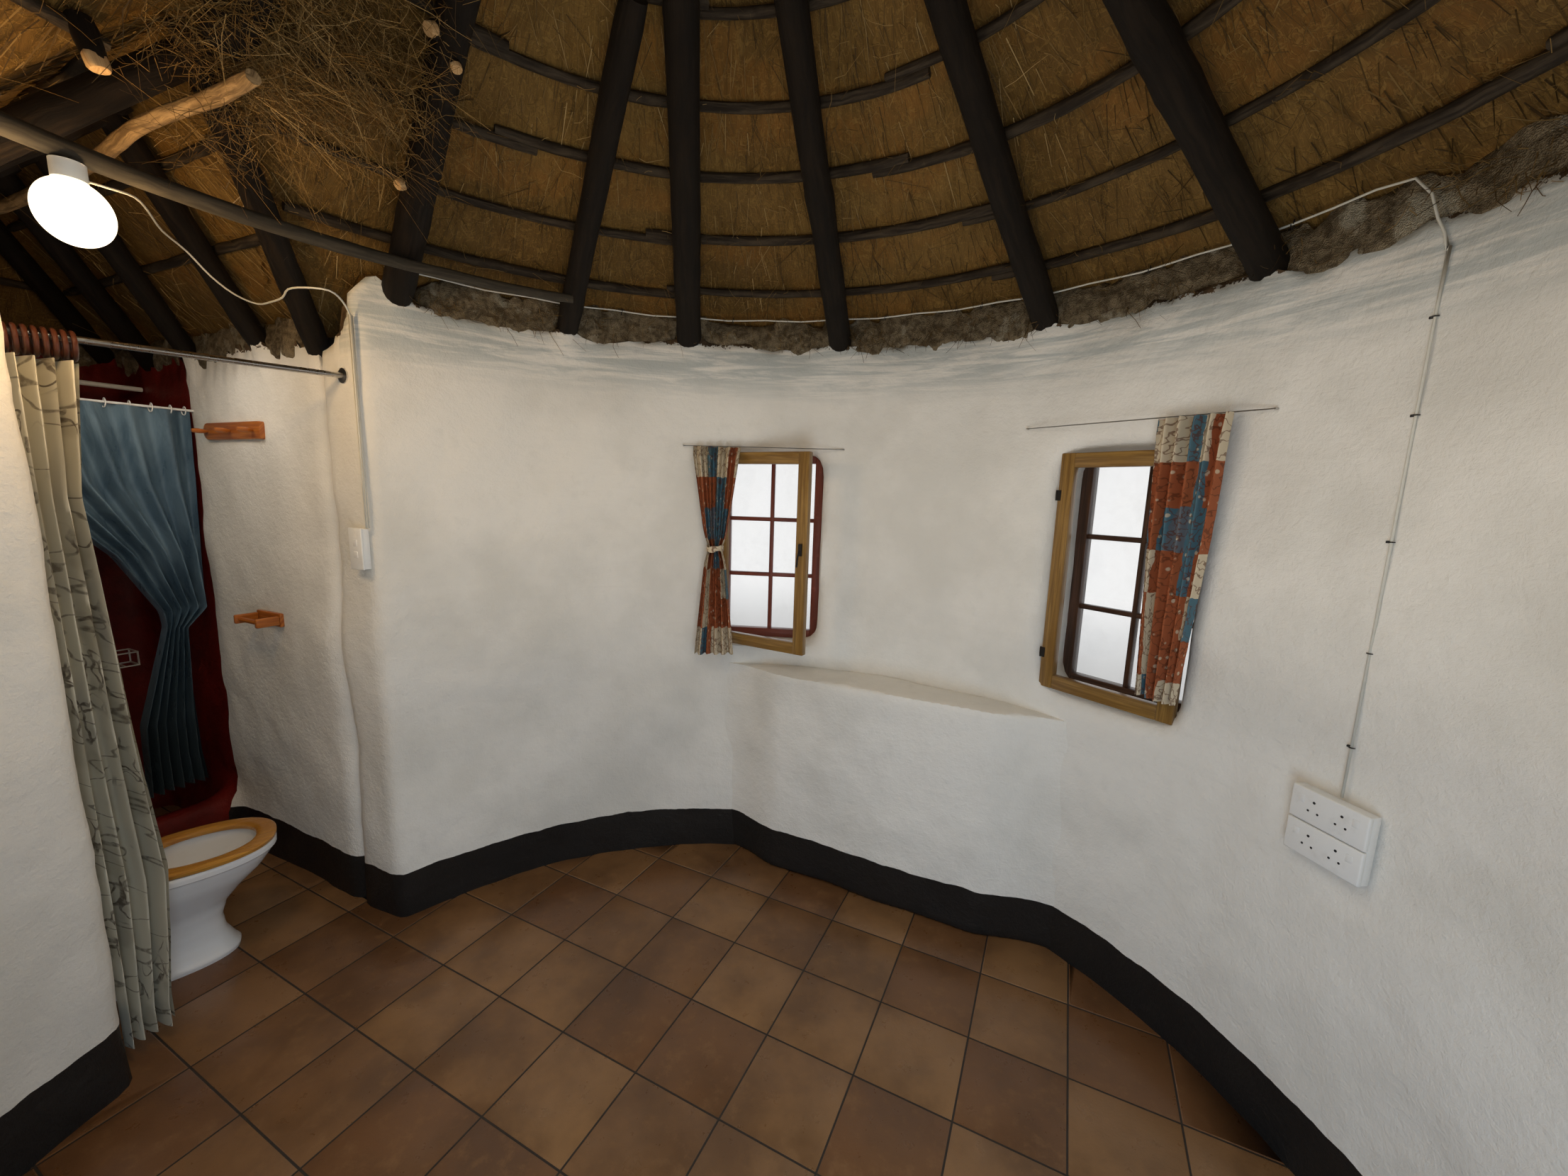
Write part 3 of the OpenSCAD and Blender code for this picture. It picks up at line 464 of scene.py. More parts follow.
@dataclass(frozen=True)
class Bark(Finish):
    """A pole's rough skin, with lengthwise cracks, from the piece's UV map in metres."""

    pale: Color = (0.010, 0.0062, 0.0034)
    dark: Color = (0.0035, 0.0023, 0.0015)
    relief: float = 0.004

    def paint(self, graph: Graph) -> Material:
        """Build the nodes."""
        u, v, _ = graph.split(graph.uv())
        place = graph.place()
        sway = (graph.noise(graph.join(u * 5, v * 5), 1.0, 3) - 0.5) * 0.05
        cracks = graph.noise(graph.join((u + sway) * 75, v * 5), 1.0, 5, 0.65, 0.4)
        patches = graph.noise(place, 9, 5, 0.7)
        color = graph.coats(
            self.dark, (cracks.ramp(0.36, 0.62), self.pale), (patches.ramp(0.42, 0.7) * 0.8, self.dark),
            (graph.noise(place, 40, 4, 0.7).ramp(0.62, 0.8) * 0.3, times(self.pale, 2.4)))
        normal = graph.bump(cracks * 0.7 + patches * 0.3, self.relief, 0.9)
        return graph.close(base_color=color, roughness=0.8, normal=normal)


@dataclass(frozen=True)
class Straw(Finish):
    """Grass stalks, each of its own shade, from an attribute of the mesh."""

    stops: tuple[tuple[float, Color], ...] = (
        (0.0, (0.035, 0.019, 0.005)), (0.4, (0.10, 0.055, 0.014)), (0.75, (0.19, 0.115, 0.035)),
        (1.0, (0.38, 0.26, 0.11)))

    def paint(self, graph: Graph) -> Material:
        """Build the nodes."""
        soot = graph.noise(graph.place(), 1.1, 4, 0.6).ramp(0.36, 0.64)
        luck = graph.attribute("shade")
        color = graph.shades((luck * 0.85 + soot * 0.3 - 0.12).most(0.0), self.stops)
        return graph.close(base_color=color, roughness=0.62)


@dataclass(frozen=True)
class ThatchBed(Finish):
    """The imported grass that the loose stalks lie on. Its UV map is across and along the stalks, in metres."""

    stops: tuple[tuple[float, Color], ...] = (
        (0.0, (0.026, 0.014, 0.004)), (0.42, (0.105, 0.056, 0.013)), (1.0, (0.30, 0.18, 0.05)))
    tint: Color = (0.20, 0.080, 0.013)
    fine: float = 330.0
    relief: float = 0.008

    def paint(self, graph: Graph) -> Material:
        """Build the nodes."""
        u, v, _ = graph.split(graph.uv())
        place = graph.place()
        sway = (graph.noise(graph.join(u * 3, v * 3), 1.0, 3) - 0.5) * 0.10
        bent = (graph.noise(place, 26, 2) - 0.5) * 0.012
        stalks = graph.noise(graph.join((u + sway + bent) * self.fine, v * 13), 1.0, 3, 0.6)
        tufts = graph.noise(graph.join((u + sway) * 38, v * 7), 1.0, 4, 0.65)
        soot = graph.noise(place, 1.3, 4, 0.6).ramp(0.3, 0.75)
        warm = graph.noise(graph.join(u * 1.6, v * 3.4), 1.0, 2).ramp(0.5, 0.6)
        hairs = [abs(graph.noise(place, scale, 2, 0.5, 0.7) - 0.5).ramp(0.028, 0.008) for scale in (21, 37)]
        color = graph.coats(
            graph.shades(stalks * 0.52 + tufts * 0.36 + soot * 0.22 - 0.09, self.stops),
            (warm * tufts.ramp(0.3, 0.7, 0.15, 0.5), self.tint),
            (hairs[0].most(hairs[1]) * stalks * 0.55, self.stops[-1][1]))
        normal = graph.bump(stalks * 0.35 + tufts * 0.45 + hairs[0] * 0.2, self.relief, 1.0)
        return graph.close(base_color=color, roughness=0.8, normal=normal)


@dataclass(frozen=True)
class Earth(Finish):
    """Rough mud, mortar or cement, with smears of another colour."""

    color: Color = (0.20, 0.14, 0.09)
    other: Color = (0.34, 0.27, 0.19)
    relief: float = 0.012
    size: float = 22.0
    smear: Color = (0.10, 0.07, 0.045)

    def paint(self, graph: Graph) -> Material:
        """Build the nodes."""
        place = graph.place()
        lumps = graph.noise(place, self.size, 6, 0.7, 0.4)
        patches = graph.noise(place, self.size * 0.3, 5, 0.7)
        color = graph.coats(self.color, (lumps.ramp(0.36, 0.66), self.other),
                            (patches.ramp(0.54, 0.66) * 0.75, self.smear))
        normal = graph.bump(lumps * 0.75 + graph.cells(place, self.size * 9) * 0.25, self.relief, 0.9)
        return graph.close(base_color=color, roughness=0.92, normal=normal)


@dataclass(frozen=True)
class Plain(Finish):
    """A smooth material with fine wear: paint, plastic, glaze or metal."""

    color: Color = (0.8, 0.8, 0.78)
    gloss: float = 0.35
    metal: float = 0.0
    coat: float = 0.0
    relief: float = 0.0002
    dirt: float = 0.15
    grime: Color = (0.35, 0.31, 0.24)
    size: float = 60.0

    def paint(self, graph: Graph) -> Material:
        """Build the nodes."""
        place = graph.place()
        marks = graph.noise(place, self.size * 0.3, 5, 0.65)
        fine = graph.noise(place, self.size * 6, 3, 0.6)
        return graph.close(
            base_color=graph.blend(marks.ramp(0.5, 0.78) * self.dirt, self.color, self.grime),
            roughness=marks.ramp(0.3, 0.75, self.gloss, min(1.0, self.gloss + 0.18)), metallic=self.metal,
            coat_weight=self.coat, coat_roughness=0.06, normal=graph.bump(fine, self.relief, 0.6))


@dataclass(frozen=True)
class Pane(Finish):
    """Thin clear glass with a little dust."""

    def paint(self, graph: Graph) -> Material:
        """Build the nodes."""
        alpha = graph.noise(graph.place(), 5, 5, 0.7).ramp(0.4, 0.8, 0.10, 0.15)
        return graph.close(base_color=(0.92, 0.95, 0.95), roughness=0.05, alpha=alpha)


@dataclass(frozen=True)
class Glow(Finish):
    """Opal glass lit from inside."""

    warm: Color = (1.0, 0.86, 0.62)
    rim: Color = (0.55, 0.40, 0.22)
    strength: float = 2.2

    def paint(self, graph: Graph) -> Material:
        """Build the nodes."""
        low, high = (corner[2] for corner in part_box("lamp_globe"))
        light = graph.blend(graph.split(graph.place())[2].ramp(low, high, 1.0, 0.75), self.rim, self.warm)
        return graph.close(base_color=(0.9, 0.88, 0.82), roughness=0.22, emission_color=light,
                           emission_strength=self.strength)


@dataclass(frozen=True)
class LinePrint(Finish):
    """Off-white cotton with a loose brown line print, on a UV map in metres."""

    ground: Color = (0.60, 0.57, 0.46)
    ink: Color = (0.12, 0.095, 0.07)
    wash: Color = (0.36, 0.33, 0.24)

    def paint(self, graph: Graph) -> Material:
        """Build the nodes."""
        uv = graph.uv()
        u, v, _ = graph.split(uv)
        bend = graph.noise(uv, 7, 3) * 0.09
        cell = graph.join(u + bend, v * 0.8 + bend)
        outline = graph.cells(cell, 5.0, "DISTANCE_TO_EDGE").ramp(0.022, 0.012)
        petals = abs(graph.noise(cell, 11, 1) - 0.5).ramp(0.020, 0.009)
        bands = abs(graph.noise(graph.join(u * 2, v * 7), 1.0, 2) - 0.52).ramp(0.012, 0.004)
        ink = (outline.most(petals) * graph.noise(uv, 4.5, 2).ramp(0.52, 0.58)).most(bands * 0.8)
        color = graph.coats(self.ground, (graph.noise(uv, 4.2, 3).ramp(0.52, 0.62) * 0.45, self.wash),
                            (ink * graph.noise(uv, 60, 3).ramp(0.3, 0.6, 0.45, 0.95), self.ink))
        return graph.close(base_color=color, roughness=0.86, normal=graph.weave(uv))


@dataclass(frozen=True)
class BlockPrint(Finish):
    """Cotton with a print of rust, teal and cream blocks, on a UV map in metres."""

    rust: Color = (0.30, 0.085, 0.032)
    teal: Color = (0.065, 0.135, 0.17)
    cream: Color = (0.56, 0.47, 0.33)

    def paint(self, graph: Graph) -> Material:
        """Build the nodes."""
        uv = graph.uv()
        u, v, _ = graph.split(uv)
        wobble = (graph.noise(uv, 14, 2) - 0.5) * 0.03
        block = graph.join(((u + wobble) * 11).floor(), ((v + wobble) * 7).floor(), 1.0)
        stops = [(0.0, self.rust), (0.34, self.rust), (0.36, self.teal), (0.58, self.teal),
                 (0.60, self.cream)]
        color = graph.coats(
            graph.shades(graph.chance(block), stops),
            (graph.cells(uv, 30).ramp(0.24, 0.16) * 0.75, self.cream),
            (abs(graph.noise(uv, 24, 2) - 0.5).ramp(0.03, 0.012) * 0.7, times(self.rust, 0.35)))
        return graph.close(base_color=color, roughness=0.88, normal=graph.weave(uv))


@dataclass(frozen=True)
class Sheeting(Finish):
    """Thin blue plastic, creased, with painted highlights on the folds and darker towards the bottom."""

    color: Color = (0.065, 0.11, 0.15)
    # Colour of the painted highlight on the raised folds
    pale: Color = (0.14, 0.21, 0.26)
    # Colour towards the bottom
    foot: Color = (0.030, 0.042, 0.046)

    def paint(self, graph: Graph) -> Material:
        """Build the nodes."""
        place = graph.place()
        creases = graph.noise(graph.stretch(place, (9, 9, 3)), 1.0, 5, 0.6, 0.8)
        # Painted highlight: the paler colour where the folds stand highest
        color = graph.blend(creases.ramp(0.4, 0.7), self.color, self.pale)
        # Darker and greyer towards the bottom
        color = graph.blend((graph.split(place)[2] + creases * 0.4).ramp(0.9, 1.7), self.foot, color)
        return graph.close(base_color=color, roughness=creases.ramp(0.3, 0.7, 0.24, 0.4),
                           normal=graph.bump(creases, 0.01, 0.7))


LIMEWASH = Limewash("limewash", "limewash")
FLOOR_TILE = FloorTile("floor_tile", "floor_tiles")
CEMENT = Earth("sill_cement", "threshold_stone", (0.36, 0.33, 0.29), (0.50, 0.47, 0.42), 0.004, 14,
               (0.20, 0.18, 0.15))
INFILL = Earth("mud_infill", "rough_mortar", (0.095, 0.069, 0.038), (0.28, 0.22, 0.135), 0.03, 30,
               (0.42, 0.38, 0.28))
CAP_MORTAR = Earth("cap_mortar", "cap_mortar", (0.36, 0.34, 0.30), (0.52, 0.50, 0.45), 0.006, 12,
                   (0.22, 0.21, 0.18))
RED_PAINT = Grain("red_brown_paint", "red_brown_paint", (0.20, 0.045, 0.025), (0.13, 0.028, 0.016),
                  0.34, 0.25, 0.0004, 60, 3, 0.2)
DARK_WOOD = Grain("dark_brown_wood", "dark_brown_wood", (0.085, 0.036, 0.018), (0.03, 0.013, 0.007),
                  0.38, 0.2)
VARNISHED = Grain("varnished_pine", "varnished_wood", (0.31, 0.175, 0.045), (0.17, 0.085, 0.02), 0.30, 0.35)
DOOR_WOOD = Grain("door_planks", "varnished_wood", (0.38, 0.18, 0.06), (0.17, 0.065, 0.02), 0.42, 0.15, 0.001,
                  90, 3, 0.12)
ORANGE_WOOD = Grain("orange_wood", "varnished_wood", (0.46, 0.15, 0.022), (0.27, 0.07, 0.012), 0.30, 0.35)
SEAT_WOOD = Grain("seat_wood", "varnished_wood", (0.52, 0.26, 0.045), (0.33, 0.13, 0.02), 0.24, 0.5)
RING_WOOD = Plain("ring_wood", "dark_brown_wood", (0.045, 0.014, 0.008), 0.28, 0.0, 0.4, 0.0003, 0.3,
                  (0.015, 0.006, 0.004))
BARK = Bark("dark_bark", "dark_pole")
GREY_BARK = Bark("grey_pole", "dark_pole", (0.050, 0.042, 0.030), (0.026, 0.022, 0.016), 0.0015)
PALE_POLE = Bark("peeled_pole", "pale_pole", (0.38, 0.25, 0.12), (0.13, 0.08, 0.036), 0.004)
LATH = Bark("lath_wood", "lath", (0.052, 0.038, 0.024), (0.013, 0.009, 0.006), 0.004)
CUT_END = Grain("cut_wood", "pale_pole", (0.55, 0.36, 0.17), (0.36, 0.21, 0.09), 0.6)
STRAW = Straw("loose_straw", "thatch")
WEATHERED_STRAW = Straw("weathered_straw", "thatch", (
    (0.0, (0.10, 0.075, 0.045)), (0.35, (0.22, 0.165, 0.095)), (0.7, (0.38, 0.29, 0.17)),
    (1.0, (0.56, 0.45, 0.28))))
THATCH = ThatchBed("thatch_bed", "thatch")
WEATHERED = ThatchBed("weathered_thatch", "thatch", (
    (0.0, (0.06, 0.045, 0.028)), (0.45, (0.20, 0.15, 0.09)), (1.0, (0.46, 0.36, 0.22))),
                      (0.22, 0.19, 0.13), 210, 0.014)
IRON = Plain("black_iron", "black_iron", (0.03, 0.028, 0.027), 0.45, 0.6, 0.0, 0.0006, 0.4,
             (0.10, 0.05, 0.03))
STEEL = Plain("bright_steel", "bright_steel", (0.62, 0.62, 0.62), 0.22, 1.0, 0.0, 0.0001, 0.3,
              (0.4, 0.38, 0.35))
WIRE = Plain("wire", "wire", (0.5, 0.5, 0.5), 0.35, 1.0, 0.0, 0.0001, 0.3, (0.3, 0.28, 0.25))
GLAZE = Plain("white_glaze", "sanitary_white", (0.80, 0.80, 0.79), 0.10, 0.0, 0.6, 0.0001, 0.12,
              (0.6, 0.56, 0.48))
PLASTIC = Plain("white_plastic", "white_plastic", (0.78, 0.77, 0.73), 0.34, 0.0, 0.0, 0.0002, 0.2)
SHEATH = Plain("cable_sheath", "white_plastic", (0.62, 0.60, 0.52), 0.4, 0.0, 0.0, 0.0002, 0.2)
BLACK_PLASTIC = Plain("black_plastic", "white_plastic", (0.015, 0.015, 0.016), 0.4)
GLASS = Pane("clear_glass", "clear_glass")
OPAL = Glow("opal_glass", "opal_glass")
LINE_PRINT = LinePrint("line_print_cotton", "printed_cotton")
BLOCK_PRINT = BlockPrint("block_print_cotton", "printed_cotton")
SHEETING = Sheeting("blue_sheeting", "blue_sheet")


# Modelling steps


class Lumps:
    """Smooth seeded noise in space, from about -1 to 1."""

    def __init__(self, seed: int) -> None:
        """Fill the lattice that the noise is read from."""
        self.lattice = np.random.default_rng(seed).uniform(-1, 1, (32, 32, 32))

    def at(self, points: Array, size: float) -> Array:
        """Noise at points.

        Args:
            points: Points as rows.
            size: Size of one lump, in metres.

        Returns:
            One number for each point.
        """
        scaled = points / size + 1000.0
        cell = np.floor(scaled).astype(int)
        part = scaled - cell
        part = part * part * (3 - 2 * part)
        total = np.zeros(len(points))
        for corner in np.ndindex(2, 2, 2):
            weight = np.prod(np.where(corner, part, 1 - part), axis=1)
            where = (cell + corner) % 32
            total += weight * self.lattice[where[:, 0], where[:, 1], where[:, 2]]
        return total

    def rough(self, points: Array, size: float, octaves: int = 3) -> Array:
        """Noise with finer octaves on it."""
        return sum(self.at(points, size / 2 ** i) * 0.5 ** i for i in range(octaves))


def linked(name: str, data: bpy.types.ID) -> Object:
    """A new object in the scene."""
    made = bpy.data.objects.new(name, data)
    bpy.context.scene.collection.objects.link(made)
    return made


def pick(*objects: Object) -> None:
    """Select these objects alone, the first of them active."""
    bpy.ops.object.select_all(action="DESELECT")
    for one in objects:
        one.select_set(True)
    bpy.context.view_layer.objects.active = objects[0]


@contextmanager
def editing(piece: Object) -> Iterator[None]:
    """Work on a piece in edit mode, with all of it selected."""
    pick(piece)
    bpy.ops.object.mode_set(mode="EDIT")
    bpy.ops.mesh.select_all(action="SELECT")
    yield
    bpy.ops.object.mode_set(mode="OBJECT")


def modify(piece: Object, kind: str, **settings: object) -> None:
    """Add a modifier and apply it.

    Args:
        piece: The object.
        kind: The modifier's type.
        settings: The modifier's settings.
    """
    made = piece.modifiers.new(kind.title(), kind)
    for key, value in settings.items():
        setattr(made, key, value)
    pick(piece)
    bpy.ops.object.modifier_apply(modifier=made.name)


def spots(piece: Object) -> Array:
    """The mesh's points as rows."""
    flat = np.empty(len(piece.data.vertices) * 3)
    piece.data.vertices.foreach_get("co", flat)
    return flat.reshape(-1, 3)


def facing(piece: Object) -> Array:
    """The mesh's normals at its points, as rows."""
    flat = np.empty(len(piece.data.vertices) * 3, dtype=np.float32)
    piece.data.vertex_normals.foreach_get("vector", flat)
    return flat.reshape(-1, 3).astype(float)


def set_spots(piece: Object, points: Array) -> None:
    """Move the mesh's points."""
    piece.data.vertices.foreach_set("co", points.ravel())
    piece.data.update()


def swell(piece: Object, amount: Callable[[Array], Array]) -> None:
    """Move a piece's surface out by an amount that a function gives from its points."""
    at = spots(piece)
    set_spots(piece, at + facing(piece) * amount(at)[:, None])


def close_up(piece: Object) -> None:
    """Close a piece's open ends, and turn its faces outwards."""
    with editing(piece):
        bpy.ops.mesh.fill_holes(sides=0)
        bpy.ops.mesh.select_all(action="SELECT")
        bpy.ops.mesh.normals_make_consistent(inside=False)


def placed(piece: Object, place: Matrix) -> Object:
    """Put a mesh through a matrix, and return its object."""
    piece.data.transform(place)
    piece.data.update()
    return piece


def joined(name: str, parts: Sequence[Object]) -> Object:
    """Join parts into one piece.

    Args:
        name: Name of the piece.
        parts: The parts, of which the first stays.

    Returns:
        The piece.
    """
    pick(*parts)
    if len(parts) > 1:
        bpy.ops.object.join()
    parts[0].name = name
    return parts[0]


def block(low: Sequence[float], high: Sequence[float], bevel: float = 0.0, segments: int = 2) -> Object:
    """A block with its grain along its longest side.

    Args:
        low: Lowest corner.
        high: Highest corner.
        bevel: Width of the rounded edges.
        segments: Steps of the rounding.

    Returns:
        The block.
    """
    size = np.subtract(high, low)
    bpy.ops.mesh.primitive_cube_add(size=1, location=(0, 0, 0))
    piece = bpy.context.object
    set_spots(piece, spots(piece) * size + np.add(low, high) / 2)
    if bevel:
        modify(piece, "BEVEL", width=bevel, segments=segments, limit_method="ANGLE")
    grain(piece, int(np.argmax(size)))
    return piece


def blocks(at: Sequence[float], *rows: Sequence[float]) -> list[Object]:
    """Blocks off a place, each from a row of its two corners and the rest as block has it."""
    return [block(np.add(at, row[:3]), np.add(at, row[3:6]), *row[6:]) for row in rows]


def corner_spots(piece: Object) -> Array:
    """The point at each corner of each face, as rows."""
    corners = np.empty(len(piece.data.loops), dtype=int)
    piece.data.loops.foreach_get("vertex_index", corners)
    return spots(piece)[corners]


def set_uv(piece: Object, u: Array, v: Array) -> None:
    """Give a piece a UV map, from numbers for the corners of its faces."""
    layer = piece.data.uv_layers.active or piece.data.uv_layers.new(name="UVMap")
    layer.data.foreach_set("uv", np.stack([u, v], -1).astype(np.float32).ravel())


def grain(piece: Object, axis: int, shift: float = 0.0) -> None:
    """Give a piece a UV map in metres, with v along an axis.

    Args:
        piece: The object.
        axis: 0, 1 or 2 for the axis that the grain follows.
        shift: Moves the pattern, so that like pieces differ.
    """
    at = corner_spots(piece)
    one, other = (at[:, i] for i in range(3) if i != axis)
    set_uv(piece, one + other * 0.83 + shift, at[:, axis] + shift * 3)


def grid(name: str, nu: int, nv: int, shape: Callable[[Array, Array], Array],
         span: tuple[float, float] = (1, 1), closed: bool = False) -> Object:
    """A grid whose points a function moves into place.

    Args:
        name: Name of the piece.
        nu: Faces across.
        nv: Faces along.
        shape: Gives the points as rows, from u and v between 0 and 1.
        span: Size of the UV map, in metres.
        closed: True where the two sides meet and are joined.

    Returns:
        The piece.
    """
    bpy.ops.mesh.primitive_grid_add(x_subdivisions=nu, y_subdivisions=nv, size=1)
    piece = bpy.context.object
    piece.name = name
    u, v, _ = (spots(piece) + 0.5).T
    layer = piece.data.uv_layers.active.data
    uv = np.empty(len(layer) * 2, dtype=np.float32)
    layer.foreach_get("uv", uv)
    layer.foreach_set("uv", (uv.reshape(-1, 2) * np.float32(span)).ravel())
    set_spots(piece, shape(u, v))
    if closed:
        with editing(piece):
            bpy.ops.mesh.remove_doubles(threshold=1e-5)
    return piece


def along(path: Array, v: Array, at: Array | None = None) -> Array:
    """Rows read at shares of a path, or at shares of the places that are given for them."""
    at = np.linspace(0, 1, len(path)) if at is None else at
    return np.stack([np.interp(v, at, column) for column in path.T], 1)


def walk(path: Array, v: Array) -> tuple[Array, Array, Array]:
    """Places and cross directions along a path.

    Args:
        path: The path's points as rows.
        v: Shares of the path, from 0 to 1.

    Returns:
        The places, and two directions across the path, as rows.
    """
    steps = np.linalg.norm(np.diff(path, axis=0), axis=1)
    at = np.concatenate([[0], np.cumsum(steps)]) / steps.sum()
    tangent = unit(np.gradient(path, axis=0))
    side = [unit(np.cross(tangent[:1], (0.31, 0.17, 0.93)))[0]]
    for t in tangent[1:]:
        carried = side[-1] - np.dot(side[-1], t) * t
        side.append(carried / np.linalg.norm(carried))
    return tuple(along(rows, v, at) for rows in (path, np.array(side), np.cross(tangent, np.array(side))))


def tube(path: Sequence[Sequence[float]], radius: Callable[[Array], Array] | float, sides: int = 12,
         rings: int = 0, lumps: float = 0.0, seed: int = 0) -> Object:
    """A round piece along a path, with closed ends.

    Args:
        path: The path's points as rows.
        radius: The radius, or a function that gives it from shares of the path.
        sides: Faces round it.
        rings: Faces along it, or 0 for one to each stretch.
        lumps: Roughness, as a share of the radius.
        seed: Seed of the roughness.

    Returns:
        The piece.
    """
    path = np.asarray(path, float)
    length = float(np.linalg.norm(np.diff(path, axis=0), axis=1).sum())
    girth = radius if callable(radius) else lambda v: np.full(len(v), float(radius))

    def shape(u: Array, v: Array) -> Array:
        """The tube's points."""
        centre, side, other = walk(path, v)
        r = girth(v)
        angle = 2 * math.pi * np.round(u * sides) / sides
        if lumps:
            at = xyz(np.cos(angle), np.sin(angle), v * length / (3 * r.mean()))
            r = r * (1 + lumps * Lumps(seed).rough(at, 1.3, 3))
        r = r * np.where((v < 1e-4) | (v > 1 - 1e-4), 0.88, 1.0)
        return centre + side * (np.cos(angle) * r)[:, None] + other * (np.sin(angle) * r)[:, None]

    span = 2 * math.pi * girth(np.array([0.5]))[0], length
    piece = grid("tube", sides, rings or len(path) - 1, shape, span, True)
    close_up(piece)
    return piece


def copy_of(name: str, *nodes: str) -> Object:
    """A merged copy of CAD nodes, without finishes, as a start for a new piece.

    Args:
        name: Name of the piece.
        nodes: Names of the nodes.

    Returns:
        The piece.
    """
    parts = [linked(node + "_copy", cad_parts[node].data.copy()) for node in nodes]
    for part in parts:
        part.data.materials.clear()
    piece = joined(name, parts)
    with editing(piece):
        bpy.ops.mesh.remove_doubles(threshold=2e-5)
    return piece


def loose(*nodes: str) -> list[Array]:
    """Points of each separate solid in some nodes, as arrays of rows."""
    with editing(copy_of("parts", *nodes)):
        bpy.ops.mesh.separate(type="LOOSE")
    found = list(bpy.context.selected_objects)
    clouds = [spots(one) for one in found]
    for one in found:
        bpy.data.objects.remove(one)
    return sorted(clouds, key=lambda cloud: tuple(cloud.mean(0).round(4)))


def soften(piece: Object, voxel: float, steps: int = 4) -> None:
    """Remesh a piece with faces of one size, and round its edges in so many passes."""
    modify(piece, "REMESH", mode="VOXEL", voxel_size=voxel)
    modify(piece, "SMOOTH", factor=0.5, iterations=steps)


def finished(piece: Object, finish: Finish, replaces: Sequence[str] = (), smooth: float = 40.0) -> Object:
    """Give a piece its finish and tell the frame about it.

    Args:
        piece: The object.
        finish: Its finish.
        replaces: CAD nodes that it stands for.
        smooth: Sharpest angle that is shaded smooth, or 0 for flat faces.

    Returns:
        The piece.
    """
    if not piece.data.materials:
        piece.data.materials.append(finish.material())
    if smooth:
        pick(piece)
        bpy.ops.object.shade_smooth_by_angle(angle=math.radians(smooth))
    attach(piece, "root")
    if replaces:
        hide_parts(*replaces)
    log.info("%s: %d faces", piece.name, len(piece.data.polygons))
    return piece


def fitted(name: str, parts: Sequence[Object], finish: Finish, replaces: Sequence[str] = (),
           smooth: float = 40.0, place: Matrix = Matrix()) -> Object:
    """Parts joined, put through a matrix and finished, with the rest as finished has it."""
    return finished(placed(joined(name, parts), place), finish, replaces, smooth)


def dress(finish: Finish, *nodes: str) -> None:
    """Give CAD nodes that stay a finish of their own."""
    for node in nodes:
        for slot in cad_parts[node].material_slots:
            slot.material = finish.material()


def stalks(name: str, roots: Array, ways: Array, lengths: Array, widths: Array, luck: Array,
           finish: Finish, bends: Array | None = None) -> Object:
    """Many thin three-sided stalks as one piece.

    Args:
        name: Name of the piece.
        roots: Where they start, as rows.
        ways: Their directions, as rows.
        lengths: Their lengths.
        widths: Their thicknesses.
        luck: A number from 0 to 1 for each one's shade.
        finish: Their finish.
        bends: How far their tips stray, as rows of shares of the length; without it all are straight.

    Returns:
        The piece.
    """
    ways = unit(ways)
    side = unit(np.cross(ways, (0.23, 0.51, 0.82)))
    other = np.cross(ways, side)
    shares = (0.0, 1.0) if bends is None else (0.0, 0.4, 0.75, 1.0)
    rings = []
    for share in shares:
        centre = roots + ways * (lengths * share)[:, None]
        if bends is not None:
            curl = bends * share ** 2 + np.roll(bends, 1, axis=1) * 0.35 * share * math.sin(5 * share)
            centre = centre + curl * lengths[:, None]
        for angle in (0, 2 * math.pi / 3, 4 * math.pi / 3):
            reach = (widths * (0.5 - 0.22 * share))[:, None]
            rings.append(centre + (side * math.cos(angle) + other * math.sin(angle)) * reach)
    points = np.stack(rings, 1)
    count, each = points.shape[:2]
    faces = [[3 * s + k, 3 * s + (k + 1) % 3, 3 * s + 3 + (k + 1) % 3, 3 * s + 3 + k]
             for s in range(len(shares) - 1) for k in range(3)]
    quads = (np.array(faces)[None] + (np.arange(count) * each)[:, None, None]).reshape(-1, 4)
    mesh = bpy.data.meshes.new(name)
    mesh.from_pydata(points.reshape(-1, 3).tolist(), [], quads.tolist())
    shade = mesh.attributes.new("shade", "FLOAT", "POINT")
    shade.data.foreach_set("value", np.repeat(luck, each).astype(np.float32))
    return finished(linked(name, mesh), finish, smooth=0)


# Plaster and floor


